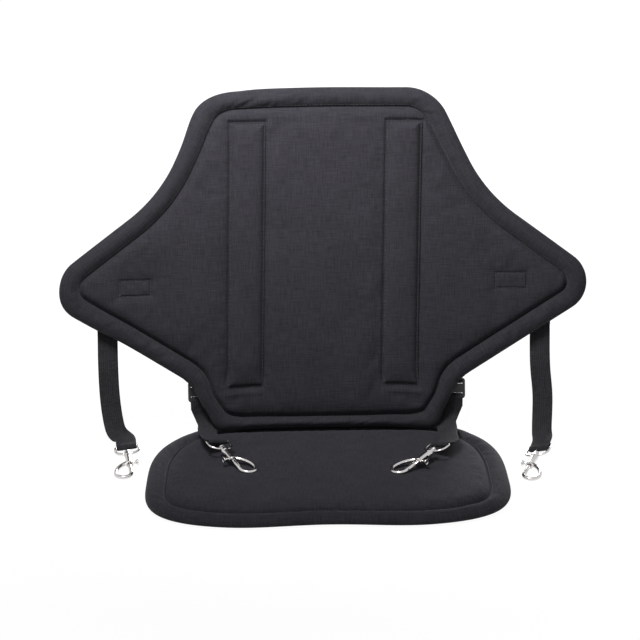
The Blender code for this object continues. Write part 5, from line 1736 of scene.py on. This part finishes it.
def add_area(name, place, target, size, power, spread):
    """A square soft lamp that faces a target."""
    lamp = bpy.data.lights.new(name, "AREA")
    lamp.shape = "SQUARE"
    lamp.size = size
    lamp.energy = power
    lamp.spread = spread
    thing = bpy.data.objects.new(name, lamp)
    thing.location = place
    thing.rotation_mode = "QUATERNION"
    thing.rotation_quaternion = (Vector(target) - Vector(place)).to_track_quat("-Z", "Y")
    thing.visible_camera = False
    bpy.context.scene.collection.objects.link(thing)


def build_camera():
    """A long lens at the photograph's viewing angle."""
    data = bpy.data.cameras.new("camera")
    data.sensor_width = 36.0
    data.lens = CAMERA_LENS
    data.clip_start = 0.05
    data.clip_end = 50.0
    camera = bpy.data.objects.new("camera", data)
    bpy.context.scene.collection.objects.link(camera)
    right = CAMERA_AHEAD.cross(Vector((0.0, 0.0, 1.0))).normalized()
    up = right.cross(CAMERA_AHEAD)
    turned_right = right * math.cos(CAMERA_ROLL) + up * math.sin(CAMERA_ROLL)
    turned_up = up * math.cos(CAMERA_ROLL) - right * math.sin(CAMERA_ROLL)
    axes = Matrix((turned_right, turned_up, -CAMERA_AHEAD)).transposed()
    camera.matrix_world = Matrix.Translation(CAMERA_PLACE) @ axes.to_4x4()
    bpy.context.scene.camera = camera


def show_white(tree, lit, shown, output):
    """Send one shader to light the object and another to what is seen, mirrored or seen through."""
    path = tree.nodes.new("ShaderNodeLightPath")
    shows = math_node(tree, "MAXIMUM", path.outputs["Is Camera Ray"], path.outputs["Is Glossy Ray"])
    shows = math_node(tree, "MAXIMUM", shows, path.outputs["Is Transmission Ray"])
    blend = tree.nodes.new("ShaderNodeMixShader")
    for socket, target in zip((shows, lit.outputs[0], shown.outputs[0]), blend.inputs):
        tree.links.new(socket, target)
    tree.links.new(blend.outputs[0], output.inputs["Surface"])


def build_floor():
    """A white floor that keeps a faint shadow."""
    far = FLOOR_REACH
    mesh = bpy.data.meshes.new("floor")
    corners = ((-far, -far), (far, -far), (far, far), (-far, far))
    mesh.from_pydata([(x, y, -FLOOR_DROP) for x, y in corners], [], [(0, 1, 2, 3)])
    floor = bpy.data.objects.new("floor", mesh)
    bpy.context.scene.collection.objects.link(floor)
    made, tree, shader = nodes_of("floor_white")
    shader.inputs["Base Color"].default_value = (0.80, 0.80, 0.80, 1.0)
    shader.inputs["Roughness"].default_value = 0.9
    shader.inputs["Specular IOR Level"].default_value = 0.1
    glow = tree.nodes.new("ShaderNodeEmission")
    distance = add_node(tree, "ShaderNodeVectorMath", operation="LENGTH")
    tree.links.new(object_place(tree), distance.inputs[0])
    tree.links.new(ranged(tree, distance.outputs["Value"], 0.30, 0.75, 0.955, 1.0), glow.inputs["Strength"])
    catcher = add_node(tree, "ShaderNodeBsdfDiffuse", Color=(0.13, 0.13, 0.13, 1.0))
    shown = tree.nodes.new("ShaderNodeAddShader")
    tree.links.new(catcher.outputs[0], shown.inputs[0])
    tree.links.new(glow.outputs[0], shown.inputs[1])
    show_white(tree, shader, shown, next(node for node in tree.nodes if node.type == "OUTPUT_MATERIAL"))
    mesh.materials.append(made)


def build_studio():
    """A white surround and soft lamps."""
    world = bpy.data.worlds.new("studio")
    world.use_nodes = True
    tree = world.node_tree
    soft = next(node for node in tree.nodes if node.type == "BACKGROUND")
    soft.inputs["Color"].default_value = (1.0, 1.0, 1.0, 1.0)
    soft.inputs["Strength"].default_value = WORLD_LIGHT
    white = add_node(tree, "ShaderNodeBackground", Strength=1.0)
    show_white(tree, soft, white, next(node for node in tree.nodes if node.type == "OUTPUT_WORLD"))
    bpy.context.scene.world = world
    for lamp in LAMPS:
        add_area(*lamp)


def main():
    """Make the camera, the materials, every piece of the seat and the studio."""
    build_camera()
    cover = woven("cover_cloth", CLOTH_DARK, CLOTH_LIGHT, WEAVE_PITCH)
    tape = woven("binding_cloth", CLOTH_DARK, CLOTH_LIGHT, WEAVE_PITCH * 0.8, sheen=0.14)
    web = woven("webbing_cloth", WEB_DARK, WEB_LIGHT, WEB_PITCH, rib=0.55, sheen=0.10, rough=0.72,
                relief=0.0003)
    thread = thread_finish()
    plastic = moulded_plastic()
    bright = plated_metal("nickel_plate", (0.70, 0.68, 0.67, 1.0), 0.14, 0.12)
    steel = plated_metal("spring_wire", (0.55, 0.54, 0.53, 1.0), 0.30, 0.20)
    for word, side in (("left", -1.0), ("right", 1.0)):
        build_stay(word, side * POCKET_CENTRE, plastic)

    back = Pad(back_loop_maker(PANEL_SPACING), place_back_cloth, lift_of_back)
    seat = Pad(seat_loop_maker(PANEL_SPACING), place_on_seat, lift_of_seat)
    back_fine = Pad(back_loop_maker(TAPE_SPACING), place_back_cloth, lift_of_back)
    seat_fine = Pad(seat_loop_maker(TAPE_SPACING), place_on_seat, lift_of_seat)
    build_back_pad(back, cover)
    build_seat_pad(seat, cover)
    build_binding("backrest_binding", back_fine, BACK_BAND, BACK_GATHERS, 1.0, tape, "backrest_edge_tape")
    seat_band = [(inset, SEAT_MIDDLE + height) for inset, height in SEAT_BAND]
    build_binding("seat_binding", seat_fine, seat_band, SEAT_GATHERS, 4.0, tape, "seat_edge_tape")

    runs = [pad_run(back_fine, back_fine.loop(0.0178), 0.0024),
            pad_run(back_fine, back_fine.loop(0.0176), -0.0035, -1.0)]
    for word, side in (("left", -1.0), ("right", 1.0)):
        runs.append(build_pocket(word, side * POCKET_CENTRE, back, cover))
        box = rectangle((side * BOX_ACROSS, BOX_ALONG[side]), BOX_WIDTH / 2.0, BOX_HEIGHT / 2.0)
        runs.append(pad_run(back, box, BACK_FACE - 0.0021))
    build_stitches("backrest_stitches", runs, thread)
    build_stitches("seat_stitches", [pad_run(seat_fine, seat_fine.loop(0.0178), SEAT_MIDDLE + 0.0024),
                                     pad_run(seat_fine, seat_fine.loop(0.0165), 0.0005, -1.0)], thread)
    build_hinge(tape, thread)

    for word, place in SNAPS.items():
        axes = snap_frame(place)
        eye_axes = rolled(axes, math.radians(place.roll))
        build_snap(word, axes, eye_axes, bright, steel)
        side = -1.0 if word.endswith("left") else 1.0
        end = strap_end(axes, eye_axes, math.radians(place.rise))
        if word.startswith("upper"):
            across, along, drop = side * UPPER_STRAP_ACROSS, UPPER_ANCHOR_HEIGHT, UPPER_ANCHOR_DROP
            middle, inner, held = upper_route(side, end), UPPER_ANCHOR_INNER, "hung"
        else:
            across, along, drop = side * LOWER_STRAP_ACROSS[side], LOWER_ANCHOR_HEIGHT, LOWER_ANCHOR_DROP
            middle, inner, held = lower_route(side, end), None, "laid"
        build_anchor(word, across, along, drop, inner, web, thread)
        bar = back_point(across, along - WEB_WIDTH / 2.0 - drop, -ADJUSTER_DEPTH)
        build_adjuster(word, bar, back_frame(across, along, ADJUSTER_DEPTH), plastic)
        build_strap(word, across, along, drop, middle, end, held, web)
    build_floor()
    build_studio()


bpy.context.scene.view_settings.view_transform = "Standard"
main()
